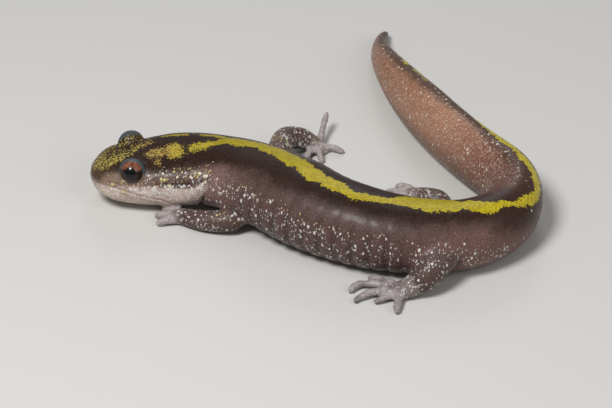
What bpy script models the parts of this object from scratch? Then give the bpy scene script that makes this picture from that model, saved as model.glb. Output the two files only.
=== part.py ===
"""Long-toed salamander, life size, as a still figure: it rests with its head straight out,
its back bent towards one side and its tail swung round behind it.

The body is one sweep along a spine that is drawn on the floor as stretches with a length and
a turn. It is parted across the spine into named lengths, and the limbs are parted at the
shoulder or hip, the elbow or knee and the wrist or ankle. Sizes below are in millimetres, and
the meshes are brought to metres at the end.

Body places are written as (along, aside, up): along the spine from the tip of the snout,
aside from the spine towards the animal's left, and up from the spine's own height.
"""

import math

import bmesh
import bpy
import numpy as np
from mathutils import Matrix, Vector

MM = 0.001
GAP = 0.3

# The spine on the floor: stretch, length, turn in degrees, anticlockwise from above.
SPINE_START = (-33.55, 1.7)
SPINE_HEADING = 7.4
SPINE_STRETCHES = (
    ("head", 14.3, -5.8),
    ("neck", 10.5, -37.9),
    ("shoulders", 10.0, -12.2),
    ("trunk", 26.7, 54.6),
    ("tail swing", 24.0, 120.4),
    ("tail run", 43.0, -25.5),
    ("tail end", 10.5, -36.0),
)
SPINE_STEP = 0.25
BEND_SOFTNESS = 4.0
LENGTH = sum(length for _, length, _ in SPINE_STRETCHES)

# Body outline: along, half width, height over the spine, depth under it, clearance from the
# floor (a negative one is cut to a small flat), squareness of the section.
OUTLINE = (
    (0.0, 4.3, 2.3, 2.9, 1.4, 2.5),
    (2.5, 4.9, 2.7, 3.55, 1.2, 2.7),
    (5.0, 5.45, 3.2, 3.85, 0.85, 2.8),
    (7.5, 6.0, 3.65, 3.9, 0.6, 2.8),
    (10.5, 6.55, 3.9, 4.1, 0.55, 2.8),
    (13.5, 6.95, 4.15, 4.25, 0.55, 2.7),
    (15.8, 7.0, 4.4, 4.25, 0.55, 2.5),
    (18.0, 6.75, 4.7, 4.4, 0.5, 2.3),
    (21.0, 6.95, 4.9, 4.85, 0.25, 2.1),
    (26.0, 7.25, 5.1, 5.3, 0.2, 2.1),
    (31.0, 7.4, 5.6, 5.5, 0.1, 2.1),
    (37.0, 7.0, 6.1, 6.1, -0.15, 2.2),
    (45.0, 6.3, 5.9, 6.0, -0.15, 2.2),
    (53.0, 6.2, 5.6, 5.5, -0.10, 2.2),
    (59.0, 5.8, 5.4, 5.2, 0.0, 2.1),
    (64.0, 5.2, 5.3, 5.0, 0.1, 2.1),
    (70.0, 4.6, 5.4, 5.0, 0.0, 2.1),
    (80.0, 4.1, 5.3, 4.8, -0.10, 2.0),
    (92.0, 3.8, 5.1, 4.6, -0.12, 2.0),
    (104.0, 3.5, 5.0, 4.4, -0.12, 2.0),
    (115.0, 2.8, 4.3, 3.7, -0.12, 2.0),
    (125.0, 2.0, 3.1, 2.7, -0.10, 2.0),
    (133.0, 1.2, 1.9, 1.6, -0.10, 2.0),
    (139.0, 0.7, 1.0, 0.9, -0.10, 2.0),
)
SNOUT_ROUNDING = 4.6
SNOUT_BLUNTNESS = 2.3
TAIL_ROUNDING = 3.0
# The tail leans with its upper edge outwards of the swing: along, lean in degrees.
LEAN = ((0.0, 0.0), (16.0, 0.0), (24.0, -4.0), (34.0, 0.0), (60.0, -2.0), (76.0, 10.0), (139.0, 14.0))

# Costal grooves, the shallow furrows between the ribs of the flank.
GROOVE_FIRST = 30.5
GROOVE_COUNT = 12
GROOVE_SPACING = 2.2
GROOVE_DEPTH = 0.16

# Where the body is parted, and how far apart the rings of each length stand.
BODY_LENGTHS = (
    ("neck", 17.8, 24.0, 1.2),
    ("shoulders", 24.0, 31.5, 1.2),
    ("trunk_front", 31.5, 43.5, 0.55),
    ("trunk_rear", 43.5, 55.5, 0.55),
    ("hips", 55.5, 65.5, 1.1),
    ("tail_base", 65.5, 84.0, 1.4),
    ("tail_middle", 84.0, 106.0, 2.2),
    ("tail_rear", 106.0, 126.0, 2.0),
    ("tail_tip", 126.0, LENGTH, 1.3),
)
HEAD_END = 17.8
HEAD_STEP = 0.7
HEAD_SIDES = 38
BODY_SIDES = 26
TAIL_SIDES = 20

# Eyes: the ball, its place in the head, the way it looks, and the lids as a low rim round it.
EYE_PLACE = (6.45, 4.2, 2.72)
EYE_LOOK = (-0.22, 0.86, 0.46)
EYE_RADIUS = 1.85
LID_DOME = 2.37
LID_OPENING = ((0.75, 1.8), (1.5, 2.25))
LID_TILT = 8.0

# Nostrils: small pits near the tip of the snout.
NOSTRIL_ALONG = 1.15
NOSTRIL_ANGLE = 26.0
NOSTRIL_RADIUS = 0.34

# The line of the mouth from the side, (along, up), and then the back of the jaw.
MOUTH_LINE = (
    (-1.0, 0.35),
    (0.7, 0.4),
    (2.45, 0.3),
    (4.2, 0.05),
    (5.7, -0.28),
    (7.0, -0.5),
    (9.2, -0.98),
    (11.0, -1.42),
)
JAW_BACK = ((12.4, -2.1), (13.2, -3.5), (13.8, -7.0))
MOUTH_WIDTH = 0.26
LIP_STEP = 0.2

# Limbs: points from inside the body to the wrist or ankle, each with a radius. The third is
# the elbow or knee, and the last the wrist or ankle, where the limb is parted.
LIMBS = {
    "left_fore": (
        ((-8.0, -3.6, 4.6), 2.6),
        ((-9.8, -6.8, 3.7), 2.0),
        ((-11.5, -7.8, 2.3), 1.8),
        ((-15.4, -7.2, 1.8), 1.65),
        ((-19.2, -5.3, 1.25), 1.25),
    ),
    "right_fore": (
        ((-4.9, 0.2, 4.6), 2.6),
        ((-4.4, 7.0, 4.6), 1.95),
        ((-3.4, 13.4, 3.4), 1.9),
        ((-1.3, 15.2, 2.5), 1.8),
        ((0.5, 16.0, 1.5), 1.35),
    ),
    "left_hind": (
        ((21.0, -16.5, 5.0), 3.2),
        ((20.2, -20.2, 4.9), 2.9),
        ((19.0, -22.4, 4.2), 2.5),
        ((17.7, -23.7, 3.1), 2.2),
        ((16.0, -24.2, 1.8), 1.75),
    ),
    "right_hind": (
        ((20.6, -15.5, 5.0), 3.2),
        ((20.8, -9.5, 4.4), 2.2),
        ((20.8, -5.0, 3.1), 1.85),
        ((20.2, -1.8, 2.2), 1.55),
        ((17.9, 0.6, 1.35), 1.2),
    ),
}
ELBOW_POINT = 2
WRIST_POINT = 4
LIMB_SIDES = 14
LIMB_STEP = 0.9
FORE_REACH = (18.0, 38.0)
HIND_REACH = (48.0, 72.0)

# Feet: the sole's length, half width and half height, and the digits from the inner one
# outwards as (direction in degrees on the floor, length, bend in degrees, rise of the tip).
FEET = {
    "left_fore": {
        "heading": 152.0,
        "inner": -1,
        "sole": (1.9, 1.3, 0.8),
        "digits": (
            (112.0, 1.3, 6.0, 0.0),
            (130.0, 2.1, 8.0, 0.0),
            (158.0, 2.2, -6.0, 0.0),
            (192.0, 1.8, -10.0, 0.0),
        ),
    },
    "right_fore": {
        "heading": -38.0,
        "inner": 1,
        "sole": (2.3, 1.5, 0.8),
        "digits": (
            (79.0, 5.0, -4.0, 2.6),
            (-10.0, 3.3, -12.0, 0.0),
            (-74.0, 2.9, -6.0, 0.0),
            (-112.0, 2.2, -10.0, 0.0),
        ),
    },
    "left_hind": {
        "heading": 186.0,
        "inner": -1,
        "sole": (3.4, 2.1, 0.95),
        "digits": (
            (151.0, 4.2, -14.0, -0.1),
            (159.0, 6.6, 82.0, 0.0),
            (184.0, 5.9, 58.0, 0.0),
            (203.0, 2.8, 14.0, 0.0),
            (262.0, 2.7, 4.0, 0.0),
        ),
    },
    "right_hind": {
        "heading": 158.0,
        "inner": 1,
        "sole": (2.8, 1.8, 0.85),
        "digits": (
            (232.0, 2.8, -10.0, 0.0),
            (212.0, 3.7, -12.0, 0.0),
            (196.0, 4.1, -8.0, 0.0),
            (180.0, 3.5, 6.0, 0.0),
            (142.0, 2.3, 12.0, 0.0),
        ),
    },
}
DIGIT_ROOT_RADIUS = 0.7
DIGIT_TIP_RADIUS = 0.6
DIGIT_SIDES = 7
DIGIT_SPAN = 7
DIGIT_KNUCKLE = 0.3
DIGIT_SPREAD = 0.72
DIGIT_CURL = 3.0

SKIN_DARK = (0.075, 0.055, 0.055)
SKIN_TAIL = (0.17, 0.12, 0.11)
SKIN_LIP = (0.33, 0.28, 0.26)
SKIN_LIMB = (0.14, 0.12, 0.125)
EYE_BROWN = (0.03, 0.012, 0.008)


def smooth_through(at, places, values):
    """Reads a smooth curve through (places, values), with no overshoot between them."""
    x = np.asarray(places, float)
    y = np.asarray(values, float)
    gap = np.diff(x)
    rise = np.diff(y) / gap
    slope = np.zeros(len(x))
    same_way = rise[:-1] * rise[1:] > 0
    slope[1:-1][same_way] = (2 * rise[:-1] * rise[1:] / (rise[:-1] + rise[1:] + 1e-12))[same_way]
    slope[0], slope[-1] = rise[0], rise[-1]
    at = np.clip(at, x[0], x[-1])
    i = np.clip(np.searchsorted(x, at) - 1, 0, len(gap) - 1)
    t = (at - x[i]) / gap[i]
    start = (1 + 2 * t) * (1 - t) ** 2 * y[i] + t * (1 - t) ** 2 * gap[i] * slope[i]
    end = t * t * (3 - 2 * t) * y[i + 1] + t * t * (t - 1) * gap[i] * slope[i + 1]
    return start + end


def draw_spine():
    """Plan points and headings of the spine at every SPINE_STEP."""
    steps = int(round(LENGTH / SPINE_STEP))
    middles = (np.arange(steps) + 0.5) * SPINE_STEP
    rate = np.zeros(steps)
    start = 0.0
    for _, length, turn in SPINE_STRETCHES:
        rate[(middles >= start) & (middles < start + length)] = math.radians(turn) / length
        start += length
    reach = int(BEND_SOFTNESS / SPINE_STEP)
    window = np.hanning(2 * reach + 1)
    rate = np.convolve(np.pad(rate, reach, mode="edge"), window / window.sum(), mode="valid")
    heading = math.radians(SPINE_HEADING) + np.concatenate([[0.0], np.cumsum(rate * SPINE_STEP)])
    middle = (heading[1:] + heading[:-1]) / 2
    x = SPINE_START[0] + np.concatenate([[0.0], np.cumsum(np.cos(middle) * SPINE_STEP)])
    y = SPINE_START[1] + np.concatenate([[0.0], np.cumsum(np.sin(middle) * SPINE_STEP)])
    return np.arange(steps + 1) * SPINE_STEP, x, y, heading


SPINE = draw_spine()


def to_world(along, aside, up):
    """Turns body places into points: aside is to the animal's left, up is from the floor."""
    places, xs, ys, headings = SPINE
    x = np.interp(along, places, xs)
    y = np.interp(along, places, ys)
    heading = np.interp(along, places, headings)
    before = np.minimum(along, 0.0)
    x = x + before * np.cos(heading) + aside * np.sin(heading)
    y = y + before * np.sin(heading) - aside * np.cos(heading)
    return np.stack([x, y, up + 0.0 * x], axis=-1)


def outline_at(along):
    """Half width, height, depth, spine height, squareness and lean of the body there."""
    table = np.array(OUTLINE)
    wide, tall, deep, clear, square = (smooth_through(along, table[:, 0], table[:, k]) for k in range(1, 6))
    lean = np.radians(smooth_through(along, [p for p, _ in LEAN], [v for _, v in LEAN]))
    spine_up = clear + np.sqrt((deep * np.cos(lean)) ** 2 + (wide * np.sin(lean)) ** 2)
    from_snout = np.clip(1 - along / SNOUT_ROUNDING, 0, 1)
    from_tip = np.clip(1 - (LENGTH - along) / TAIL_ROUNDING, 0, 1)
    blunt = SNOUT_BLUNTNESS
    shrink = (1 - from_snout**blunt) ** (1 / blunt) * np.sqrt(1 - from_tip**2)
    return wide * shrink, tall * shrink, deep * shrink, spine_up, square, lean


def groove_depth(along, angle):
    """Depth of the costal grooves, strongest low on the flank and none along the back."""
    last = GROOVE_FIRST + (GROOVE_COUNT - 1) * GROOVE_SPACING
    phase = (along - GROOVE_FIRST) / GROOVE_SPACING
    inside = np.clip((along - GROOVE_FIRST + 1) / 2, 0, 1) * np.clip((last + 1 - along) / 2, 0, 1)
    furrow = np.exp(-(((phase - np.round(phase)) / 0.2) ** 2))
    on_flank = np.clip(0.85 - np.sin(angle), 0, 1) * np.clip(1.4 + np.sin(angle), 0, 1)
    return GROOVE_DEPTH * inside * furrow * on_flank


def body_places(along, angle, grow=0.0):
    """Body places of the skin: angle 0 is the left side, 90 degrees is the back."""
    wide, tall, deep, spine_up, square, lean = outline_at(along)
    size = grow - groove_depth(along, angle)
    high = np.where(np.sin(angle) > 0, tall, deep)
    aside = (wide + size) * np.sign(np.cos(angle)) * np.abs(np.cos(angle)) ** (2 / square)
    up = (high + size) * np.sign(np.sin(angle)) * np.abs(np.sin(angle)) ** (2 / square)
    leant = aside * np.cos(lean) + up * np.sin(lean)
    up = up * np.cos(lean) - aside * np.sin(lean) + spine_up
    return along + 0.0 * angle, leant, up


def eye_centre(side):
    """Body place of an eyeball's centre; side is 1 for the left and -1 for the right."""
    along, aside, up = EYE_PLACE
    return np.array([along, side * aside, up + float(outline_at(np.float64(along))[3])])


def mesh_object(name, points, faces):
    mesh = bpy.data.meshes.new(name)
    mesh.from_pydata([tuple(map(float, p)) for p in points], [], faces)
    obj = bpy.data.objects.new(name, mesh)
    bpy.context.scene.collection.objects.link(obj)
    return obj


def loft(name, rings, start_point=None, end_point=None):
    """Closes a stack of rings into one body, with a flat end or a pole at each side."""
    count = len(rings[0])
    points = [p for ring in rings for p in ring]
    faces = []
    for i in range(len(rings) - 1):
        for j in range(count):
            k = (j + 1) % count
            faces.append((i * count + j, i * count + k, (i + 1) * count + k, (i + 1) * count + j))
    last = (len(rings) - 1) * count
    for pole, first, turned in ((start_point, 0, True), (end_point, last, False)):
        if pole is None:
            cap = tuple(range(first, first + count))
            faces.append(cap[::-1] if turned else cap)
            continue
        points.append(pole)
        for j in range(count):
            k = (j + 1) % count
            face = (first + j, first + k, len(points) - 1)
            faces.append(face[::-1] if turned else face)
    obj = mesh_object(name, points, faces)
    point_outwards(obj)
    return obj


def point_outwards(obj):
    bm = bmesh.new()
    bm.from_mesh(obj.data)
    bmesh.ops.recalc_face_normals(bm, faces=bm.faces)
    if bm.calc_volume(signed=True) < 0:
        bmesh.ops.reverse_faces(bm, faces=bm.faces)
    bm.to_mesh(obj.data)
    bm.free()


def ring_places(first, last, step):
    count = max(2, int(round((last - first) / step)) + 1)
    return np.linspace(first, last, count)


def body_length(name, first, last, step, sides, grow=0.0):
    """One length of the body between two cuts across the spine."""
    angles = np.arange(sides) * 2 * math.pi / sides
    to_tip = last >= LENGTH
    stations = ring_places(first, last - (0.2 if to_tip else 0.0), step)
    if to_tip:
        stations = last - (last - stations) ** 1.25 * (last - first) ** -0.25
    rings = [to_world(*body_places(np.float64(s), angles, grow)) for s in stations]
    end = None
    if to_tip:
        end = to_world(np.float64(LENGTH), 0.0, outline_at(np.float64(LENGTH))[3])
    return loft(name, rings, end_point=end)


def head_shape(name, grow=0.0):
    """The whole head without its lids, from the tip of the snout to the neck."""
    angles = np.arange(HEAD_SIDES) * 2 * math.pi / HEAD_SIDES
    snout = SNOUT_ROUNDING * (1 - np.cos(np.linspace(0, math.pi / 2, 9)[1:]))
    back = ring_places(SNOUT_ROUNDING, HEAD_END - GAP / 2, HEAD_STEP)[1:]
    rings = []
    for s in np.concatenate([snout, back]):
        rings.append(to_world(*body_places(s, angles, grow)))
    tip = to_world(np.float64(-grow), 0.0, outline_at(np.float64(0.0))[3])
    return loft(name, rings, start_point=tip)


def sweep(name, stack, sides, start_point=None, end_point=None):
    """Closes rings set across a path, each (centre, direction, half width, half height)."""
    angles = (np.arange(sides) + 0.5) * 2 * math.pi / sides
    rings = []
    for centre, way, wide, high in stack:
        side = np.cross((0, 0, 1), way)
        side /= np.linalg.norm(side)
        top = np.cross(way, side)
        top /= np.linalg.norm(top)
        ring = np.outer(np.cos(angles), side) * wide + np.outer(np.sin(angles), top) * high
        rings.append(centre + ring)
    return loft(name, rings, start_point, end_point)


def round_end(centre, way, wide, high, count):
    """Rings that close the end of a sweep as half a ball; the last entry is its pole."""
    bends = [math.radians(90 * k / count) for k in range(1, count)]
    rings = []
    for bend in bends:
        shrink = math.cos(bend)
        rings.append((centre + way * wide * math.sin(bend), way, wide * shrink, high * shrink))
    return rings, centre + way * wide


def smooth_path(points, per_span):
    """A smooth curve through the points, with where each place lies between them."""
    pts = [np.array(p, float) for p in points]
    ends = [2 * pts[0] - pts[1], *pts, 2 * pts[-1] - pts[-2]]
    curve, places = [], []
    for i in range(1, len(ends) - 2):
        a, b, c, d = ends[i - 1 : i + 3]
        for k in range(per_span):
            t = k / per_span
            cubic = (3 * b - a - 3 * c + d) * t**3
            square = (2 * a - 5 * b + 4 * c - d) * t**2
            curve.append((2 * b + (c - a) * t + square + cubic) / 2)
            places.append(i - 1 + t)
    return np.array(curve + [pts[-1]]), np.array(places + [len(pts) - 1.0])


def digit(name, points):
    """One digit, round-ended at both ends and a little thinner towards its tip."""
    pts = np.array(points)
    way = np.gradient(pts, axis=0)
    way /= np.linalg.norm(way, axis=1, keepdims=True)
    radii = np.linspace(DIGIT_ROOT_RADIUS, DIGIT_TIP_RADIUS, len(pts))
    root, root_pole = round_end(pts[0], -way[0], radii[0], radii[0], 2)
    tip, tip_pole = round_end(pts[-1], way[-1], radii[-1], radii[-1], 2)
    stack = [(centre, -back, wide, high) for centre, back, wide, high in reversed(root)]
    stack += [(pts[i], way[i], radii[i], radii[i]) for i in range(len(pts))]
    return sweep(name, stack + tip, DIGIT_SIDES, root_pole, tip_pole)


def foot_ahead(limb):
    heading = math.radians(FEET[limb]["heading"])
    return np.array([math.cos(heading), math.sin(heading), 0.0])


def sole_front(limb):
    """The front of the sole, which the digits spring from."""
    length, _, half_high = FEET[limb]["sole"]
    front = np.array(LIMBS[limb][WRIST_POINT][0]) + foot_ahead(limb) * length
    front[2] = half_high - 0.1
    return front


def limb_path(limb):
    """A whole limb from inside the body to the front of its sole: place along it, point, way,
    half width and half height, and the places of its elbow and wrist, or knee and ankle."""
    length, half_wide, half_high = FEET[limb]["sole"]
    middle = np.array(LIMBS[limb][WRIST_POINT][0]) + foot_ahead(limb) * length * 0.5
    middle[2] = half_high + 0.1
    points = [p for p, _ in LIMBS[limb]] + [middle, sole_front(limb)]
    radii = [r for _, r in LIMBS[limb]]
    curve, places = smooth_path(points, 12)
    along = np.concatenate([[0.0], np.cumsum(np.linalg.norm(np.diff(curve, axis=0), axis=1))])
    way = np.gradient(curve, axis=0)
    way /= np.linalg.norm(way, axis=1, keepdims=True)
    order = np.arange(len(points))
    wide = smooth_through(places, order, radii + [half_wide * 0.92, half_wide * 0.8])
    high = smooth_through(places, order, radii + [half_high, half_high * 0.88])
    joints = np.interp([ELBOW_POINT, WRIST_POINT], places, along)
    return along, curve, way, wide, high, joints


def limb_rings(path, first, last):
    """Rings of a limb between two places along it."""
    along, curve, way, wide, high, _ = path
    stack = []
    for s in ring_places(first, last, LIMB_STEP):
        centre = np.array([np.interp(s, along, curve[:, k]) for k in range(3)])
        direction = np.array([np.interp(s, along, way[:, k]) for k in range(3)])
        direction /= np.linalg.norm(direction)
        stack.append((centre, direction, np.interp(s, along, wide), np.interp(s, along, high)))
    return stack


def level_ends(stack, path, place, end):
    """Sets the ring at a joint square to the limb there, so that both faces are parallel."""
    along, _, way, _, _, _ = path
    direction = np.array([np.interp(place, along, way[:, k]) for k in range(3)])
    centre, _, wide, high = stack[end]
    stack[end] = (centre, direction / np.linalg.norm(direction), wide, high)


def is_closed(mesh):
    bm = bmesh.new()
    bm.from_mesh(mesh)
    closed = all(len(edge.link_faces) == 2 for edge in bm.edges)
    bm.free()
    return closed


def combine(obj, others, operation):
    """Joins or cuts with closed helpers, which are removed, and keeps the largest body."""
    helpers = bpy.data.collections.new(obj.name + "_helpers")
    bpy.context.scene.collection.children.link(helpers)
    for other in others:
        bpy.context.scene.collection.objects.unlink(other)
        helpers.objects.link(other)
    modifier = obj.modifiers.new("combine", "BOOLEAN")
    modifier.operation = operation
    modifier.operand_type = "COLLECTION"
    modifier.collection = helpers
    for solver in ("EXACT", "MANIFOLD"):
        modifier.solver = solver
        bpy.context.view_layer.update()
        graph = bpy.context.evaluated_depsgraph_get()
        made = bpy.data.meshes.new_from_object(obj.evaluated_get(graph), depsgraph=graph)
        if is_closed(made):
            break
    obj.modifiers.clear()
    obj.data = made
    for other in others:
        bpy.data.objects.remove(other)
    bpy.data.collections.remove(helpers)
    keep_largest(obj)
    return obj


def keep_largest(obj):
    """Drops every loose scrap and sealed hollow, and leaves one closed body."""
    bm = bmesh.new()
    bm.from_mesh(obj.data)
    bmesh.ops.remove_doubles(bm, verts=bm.verts, dist=1e-4)
    bm.faces.ensure_lookup_table()
    unseen = set(bm.faces)
    bodies = []
    while unseen:
        body = set()
        edge_of = [unseen.pop()]
        while edge_of:
            face = edge_of.pop()
            body.add(face)
            for edge in face.edges:
                for near in edge.link_faces:
                    if near in unseen:
                        unseen.discard(near)
                        edge_of.append(near)
        bodies.append(body)
    largest = max(bodies, key=lambda faces: sum(f.calc_area() for f in faces))
    scraps = [f for f in bm.faces if f not in largest]
    bmesh.ops.delete(bm, geom=scraps, context="FACES")
    bm.to_mesh(obj.data)
    bm.free()


def box(name, low, high):
    low, high = Vector(low), Vector(high)
    points = [(x, y, z) for x in (low.x, high.x) for y in (low.y, high.y) for z in (low.z, high.z)]
    faces = [(0, 1, 3, 2), (4, 6, 7, 5), (0, 4, 5, 1), (2, 3, 7, 6), (0, 2, 6, 4), (1, 5, 7, 3)]
    obj = mesh_object(name, points, faces)
    point_outwards(obj)
    return obj


def stand_on_floor(obj):
    """Cuts whatever dips below the floor to a small flat at the floor's level."""
    if min(v.co.z for v in obj.data.vertices) < -1e-4:
        combine(obj, [box("floor_cut", (-90, -90, -20), (90, 120, 0))], "DIFFERENCE")
    return obj


def jaw_wedge(name, lift):
    """Everything under the line of the mouth and before the back of the jaw."""
    line = np.array(MOUTH_LINE + JAW_BACK)
    way = np.gradient(line, axis=0)
    way /= np.linalg.norm(way, axis=1, keepdims=True)
    line = line + np.stack([-way[:, 1], way[:, 0]], axis=1) * lift
    line[0, 0] = -3.0
    outline = [*line, (-3.0, -9.0)]
    outline[-2] = (outline[-2][0], -9.0)
    rings = []
    for aside in (-9.0, 9.0):
        along = np.array([p[0] for p in outline])
        up = np.array([p[1] for p in outline]) + outline_at(np.clip(along, 0, None))[3]
        rings.append(to_world(along, np.full(len(outline), aside), up))
    return loft(name, rings)


def ball(name, centre, radius, rings=12, sides=18, pole=(0, 0, 1)):
    """A sphere whose pole points the way an eye looks."""
    bm = bmesh.new()
    turn = Vector((0, 0, 1)).rotation_difference(Vector(pole)).to_matrix().to_4x4()
    place = Matrix.Translation(Vector(centre)) @ turn
    bmesh.ops.create_uvsphere(bm, u_segments=sides, v_segments=rings, radius=radius, matrix=place)
    mesh = bpy.data.meshes.new(name)
    bm.to_mesh(mesh)
    bm.free()
    obj = bpy.data.objects.new(name, mesh)
    bpy.context.scene.collection.objects.link(obj)
    return obj


def funnel(name, centre, way, near, far, sides=18):
    """A cone frustum along the way given; near and far are each a distance and a radius."""
    bm = bmesh.new()
    turn = Vector((0, 0, 1)).rotation_difference(Vector(way)).to_matrix().to_4x4()
    middle = Vector(centre) + Vector(way).normalized() * (near[0] + far[0]) / 2
    place = Matrix.Translation(middle) @ turn
    depth = far[0] - near[0]
    bmesh.ops.create_cone(
        bm, cap_ends=True, segments=sides, radius1=near[1], radius2=far[1], depth=depth, matrix=place
    )
    mesh = bpy.data.meshes.new(name)
    bm.to_mesh(mesh)
    bm.free()
    obj = bpy.data.objects.new(name, mesh)
    bpy.context.scene.collection.objects.link(obj)
    return obj


def eye_frame(side):
    """World centre of an eyeball and the way it looks."""
    centre = eye_centre(side)
    look = np.array(EYE_LOOK) * (1, side, 1)
    here = to_world(*centre)
    there = to_world(*(centre + look))
    way = there - here
    return here, way / np.linalg.norm(way)


def lid_cut_way(way):
    """The rim of the lids tips down a little, so that the upper lid covers more of the eye."""
    side = np.cross(way, (0, 0, 1))
    side /= np.linalg.norm(side)
    turn = Matrix.Rotation(math.radians(-LID_TILT), 3, Vector(side))
    return np.array(turn @ Vector(way))


def make_head_and_jaw():
    """The head with sockets, lids and nostrils, and the lower jaw parted along the mouth."""
    cuts = []
    domes = []
    for side in (1, -1):
        centre, way = eye_frame(side)
        domes.append(ball("lids", centre, LID_DOME, 10, 16, way))
        rim_way = lid_cut_way(way)
        cuts.append(ball("socket", centre, EYE_RADIUS + GAP, 10, 16, way))
        near, far = LID_OPENING
        slope = (far[1] - near[1]) / (far[0] - near[0])
        cuts.append(funnel("lid_opening", centre, rim_way, near, (3.0, near[1] + slope * (3.0 - near[0]))))
        angle = math.radians(NOSTRIL_ANGLE)
        angle = angle if side > 0 else math.pi - angle
        place = to_world(*body_places(np.float64(NOSTRIL_ALONG), np.float64(angle)))
        cuts.append(ball("nostril", place, NOSTRIL_RADIUS, 6, 8))
    head = combine(head_shape("head"), domes, "UNION")
    combine(head, [jaw_wedge("under_mouth", MOUTH_WIDTH / 2)], "DIFFERENCE")
    combine(head, cuts, "DIFFERENCE")
    jaw = head_shape("lower_jaw", -LIP_STEP)
    combine(jaw, [jaw_wedge("mouth", -MOUTH_WIDTH / 2)], "INTERSECT")
    eyes = []
    for side, name in ((1, "eye_left"), (-1, "eye_right")):
        centre, way = eye_frame(side)
        eyes.append(ball(name, centre, EYE_RADIUS, 12, 18, way))
    return [head, jaw, *eyes]


def make_body():
    lengths = []
    for name, first, last, step in BODY_LENGTHS:
        sides = TAIL_SIDES if name.startswith("tail") else BODY_SIDES
        end = last if last >= LENGTH else last - GAP / 2
        lengths.append(body_length(name, first + GAP / 2, end, step, sides))
    return lengths


def digit_path(root, direction, length, bend, rise):
    """Points of one digit, that leaves its root level, bends on the floor and arches a little."""
    points = []
    x, y = root
    steps = DIGIT_SPAN
    for k in range(steps + 1):
        share = k / steps
        lift = DIGIT_TIP_RADIUS - 0.05 + 0.3 * (1 - share) + DIGIT_KNUCKLE * math.sin(math.pi * share)
        points.append((x, y, lift + rise * share))
        heading = math.radians(direction + bend * (share + 0.5 / steps) ** DIGIT_CURL)
        x += math.cos(heading) * length / steps
        y += math.sin(heading) * length / steps
    return points


def make_foot(limb, name, path, first):
    """A flat sole with its digits fused on."""
    _, half_wide, _ = FEET[limb]["sole"]
    ahead = foot_ahead(limb)
    front = sole_front(limb)
    stack = limb_rings(path, first, path[0][-1])
    level_ends(stack, path, path[5][1], 0)
    rounded, pole = round_end(*stack[-1], 3)
    sole = sweep(name, stack + rounded, LIMB_SIDES, end_point=pole)
    digits = []
    across = np.array([-ahead[1], ahead[0]]) * FEET[limb]["inner"]
    count = len(FEET[limb]["digits"])
    for k, (direction, reach, bend, rise) in enumerate(FEET[limb]["digits"]):
        aside = DIGIT_SPREAD * half_wide * (1 - 2 * k / (count - 1))
        setback = 0.5 + 0.9 * abs(aside / half_wide) ** 2
        root = front[:2] - ahead[:2] * setback + across * aside
        digits.append(digit(f"digit_{k}", digit_path(root, direction, reach + 0.4, bend, rise)))
    return combine(sole, digits, "UNION")


def make_limb(limb):
    """The two lengths of a limb and its foot, parted square to the limb at each joint."""
    side = limb.split("_")[0]
    fore = limb.endswith("fore")
    names = ("upper_arm", "forearm", "hand") if fore else ("thigh", "shank", "foot")
    upper_name, lower_name, foot_name = (f"{name}_{side}" for name in names)
    first, last = FORE_REACH if fore else HIND_REACH
    path = limb_path(limb)
    elbow, wrist = path[5]
    upper_rings = limb_rings(path, 0.0, elbow - GAP / 2)
    level_ends(upper_rings, path, elbow, -1)
    lower_rings = limb_rings(path, elbow + GAP / 2, wrist - GAP / 2)
    level_ends(lower_rings, path, elbow, 0)
    level_ends(lower_rings, path, wrist, -1)
    upper = sweep(upper_name, upper_rings, LIMB_SIDES)
    lower = sweep(lower_name, lower_rings, LIMB_SIDES)
    for length in (upper, lower):
        combine(length, [body_length("body_cut", first, last, 0.8, BODY_SIDES, GAP)], "DIFFERENCE")
    return [upper, lower, make_foot(limb, foot_name, path, wrist + GAP / 2)]


def material(name, colour, roughness):
    made = bpy.data.materials.new(name)
    made.use_nodes = True
    shader = made.node_tree.nodes["Principled BSDF"]
    shader.inputs["Base Color"].default_value = (*colour, 1.0)
    shader.inputs["Roughness"].default_value = roughness
    shader.inputs["Metallic"].default_value = 0.0
    return made


def finish(obj, surface):
    """Brings a node to metres, shades it smooth and gives it its own material."""
    obj.data.transform(Matrix.Scale(MM, 4))
    obj.data.materials.clear()
    obj.data.materials.append(surface)
    obj.data.shade_smooth()
    obj.data.set_sharp_from_angle(angle=math.radians(40))


def centre_on_floor(nodes):
    """Sets the middle of the footprint's box at the origin."""
    corners = np.array([v.co[:] for obj in nodes for v in obj.data.vertices])
    middle = (corners.min(axis=0) + corners.max(axis=0)) / 2
    for obj in nodes:
        obj.data.transform(Matrix.Translation((-middle[0], -middle[1], 0.0)))


def main():
    for obj in list(bpy.data.objects):
        bpy.data.objects.remove(obj)
    nodes = make_head_and_jaw() + make_body()
    for limb in LIMBS:
        nodes += make_limb(limb)
    for obj in nodes:
        stand_on_floor(obj)
    centre_on_floor(nodes)
    surfaces = {
        "eye": material("wet_eye", EYE_BROWN, 0.08),
        "lower_jaw": material("pale_skin", SKIN_LIP, 0.35),
        "tail": material("tail_skin", SKIN_TAIL, 0.35),
        "body": material("dark_skin", SKIN_DARK, 0.32),
        "limb": material("limb_skin", SKIN_LIMB, 0.35),
    }
    limb_parts = ("upper_arm", "forearm", "thigh", "shank", "hand", "foot")
    for obj in nodes:
        kind = "body"
        if obj.name.startswith(limb_parts):
            kind = "limb"
        for start in ("eye", "lower_jaw", "tail"):
            if obj.name.startswith(start):
                kind = start
        finish(obj, surfaces[kind])


main()
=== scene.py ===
import math

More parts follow.
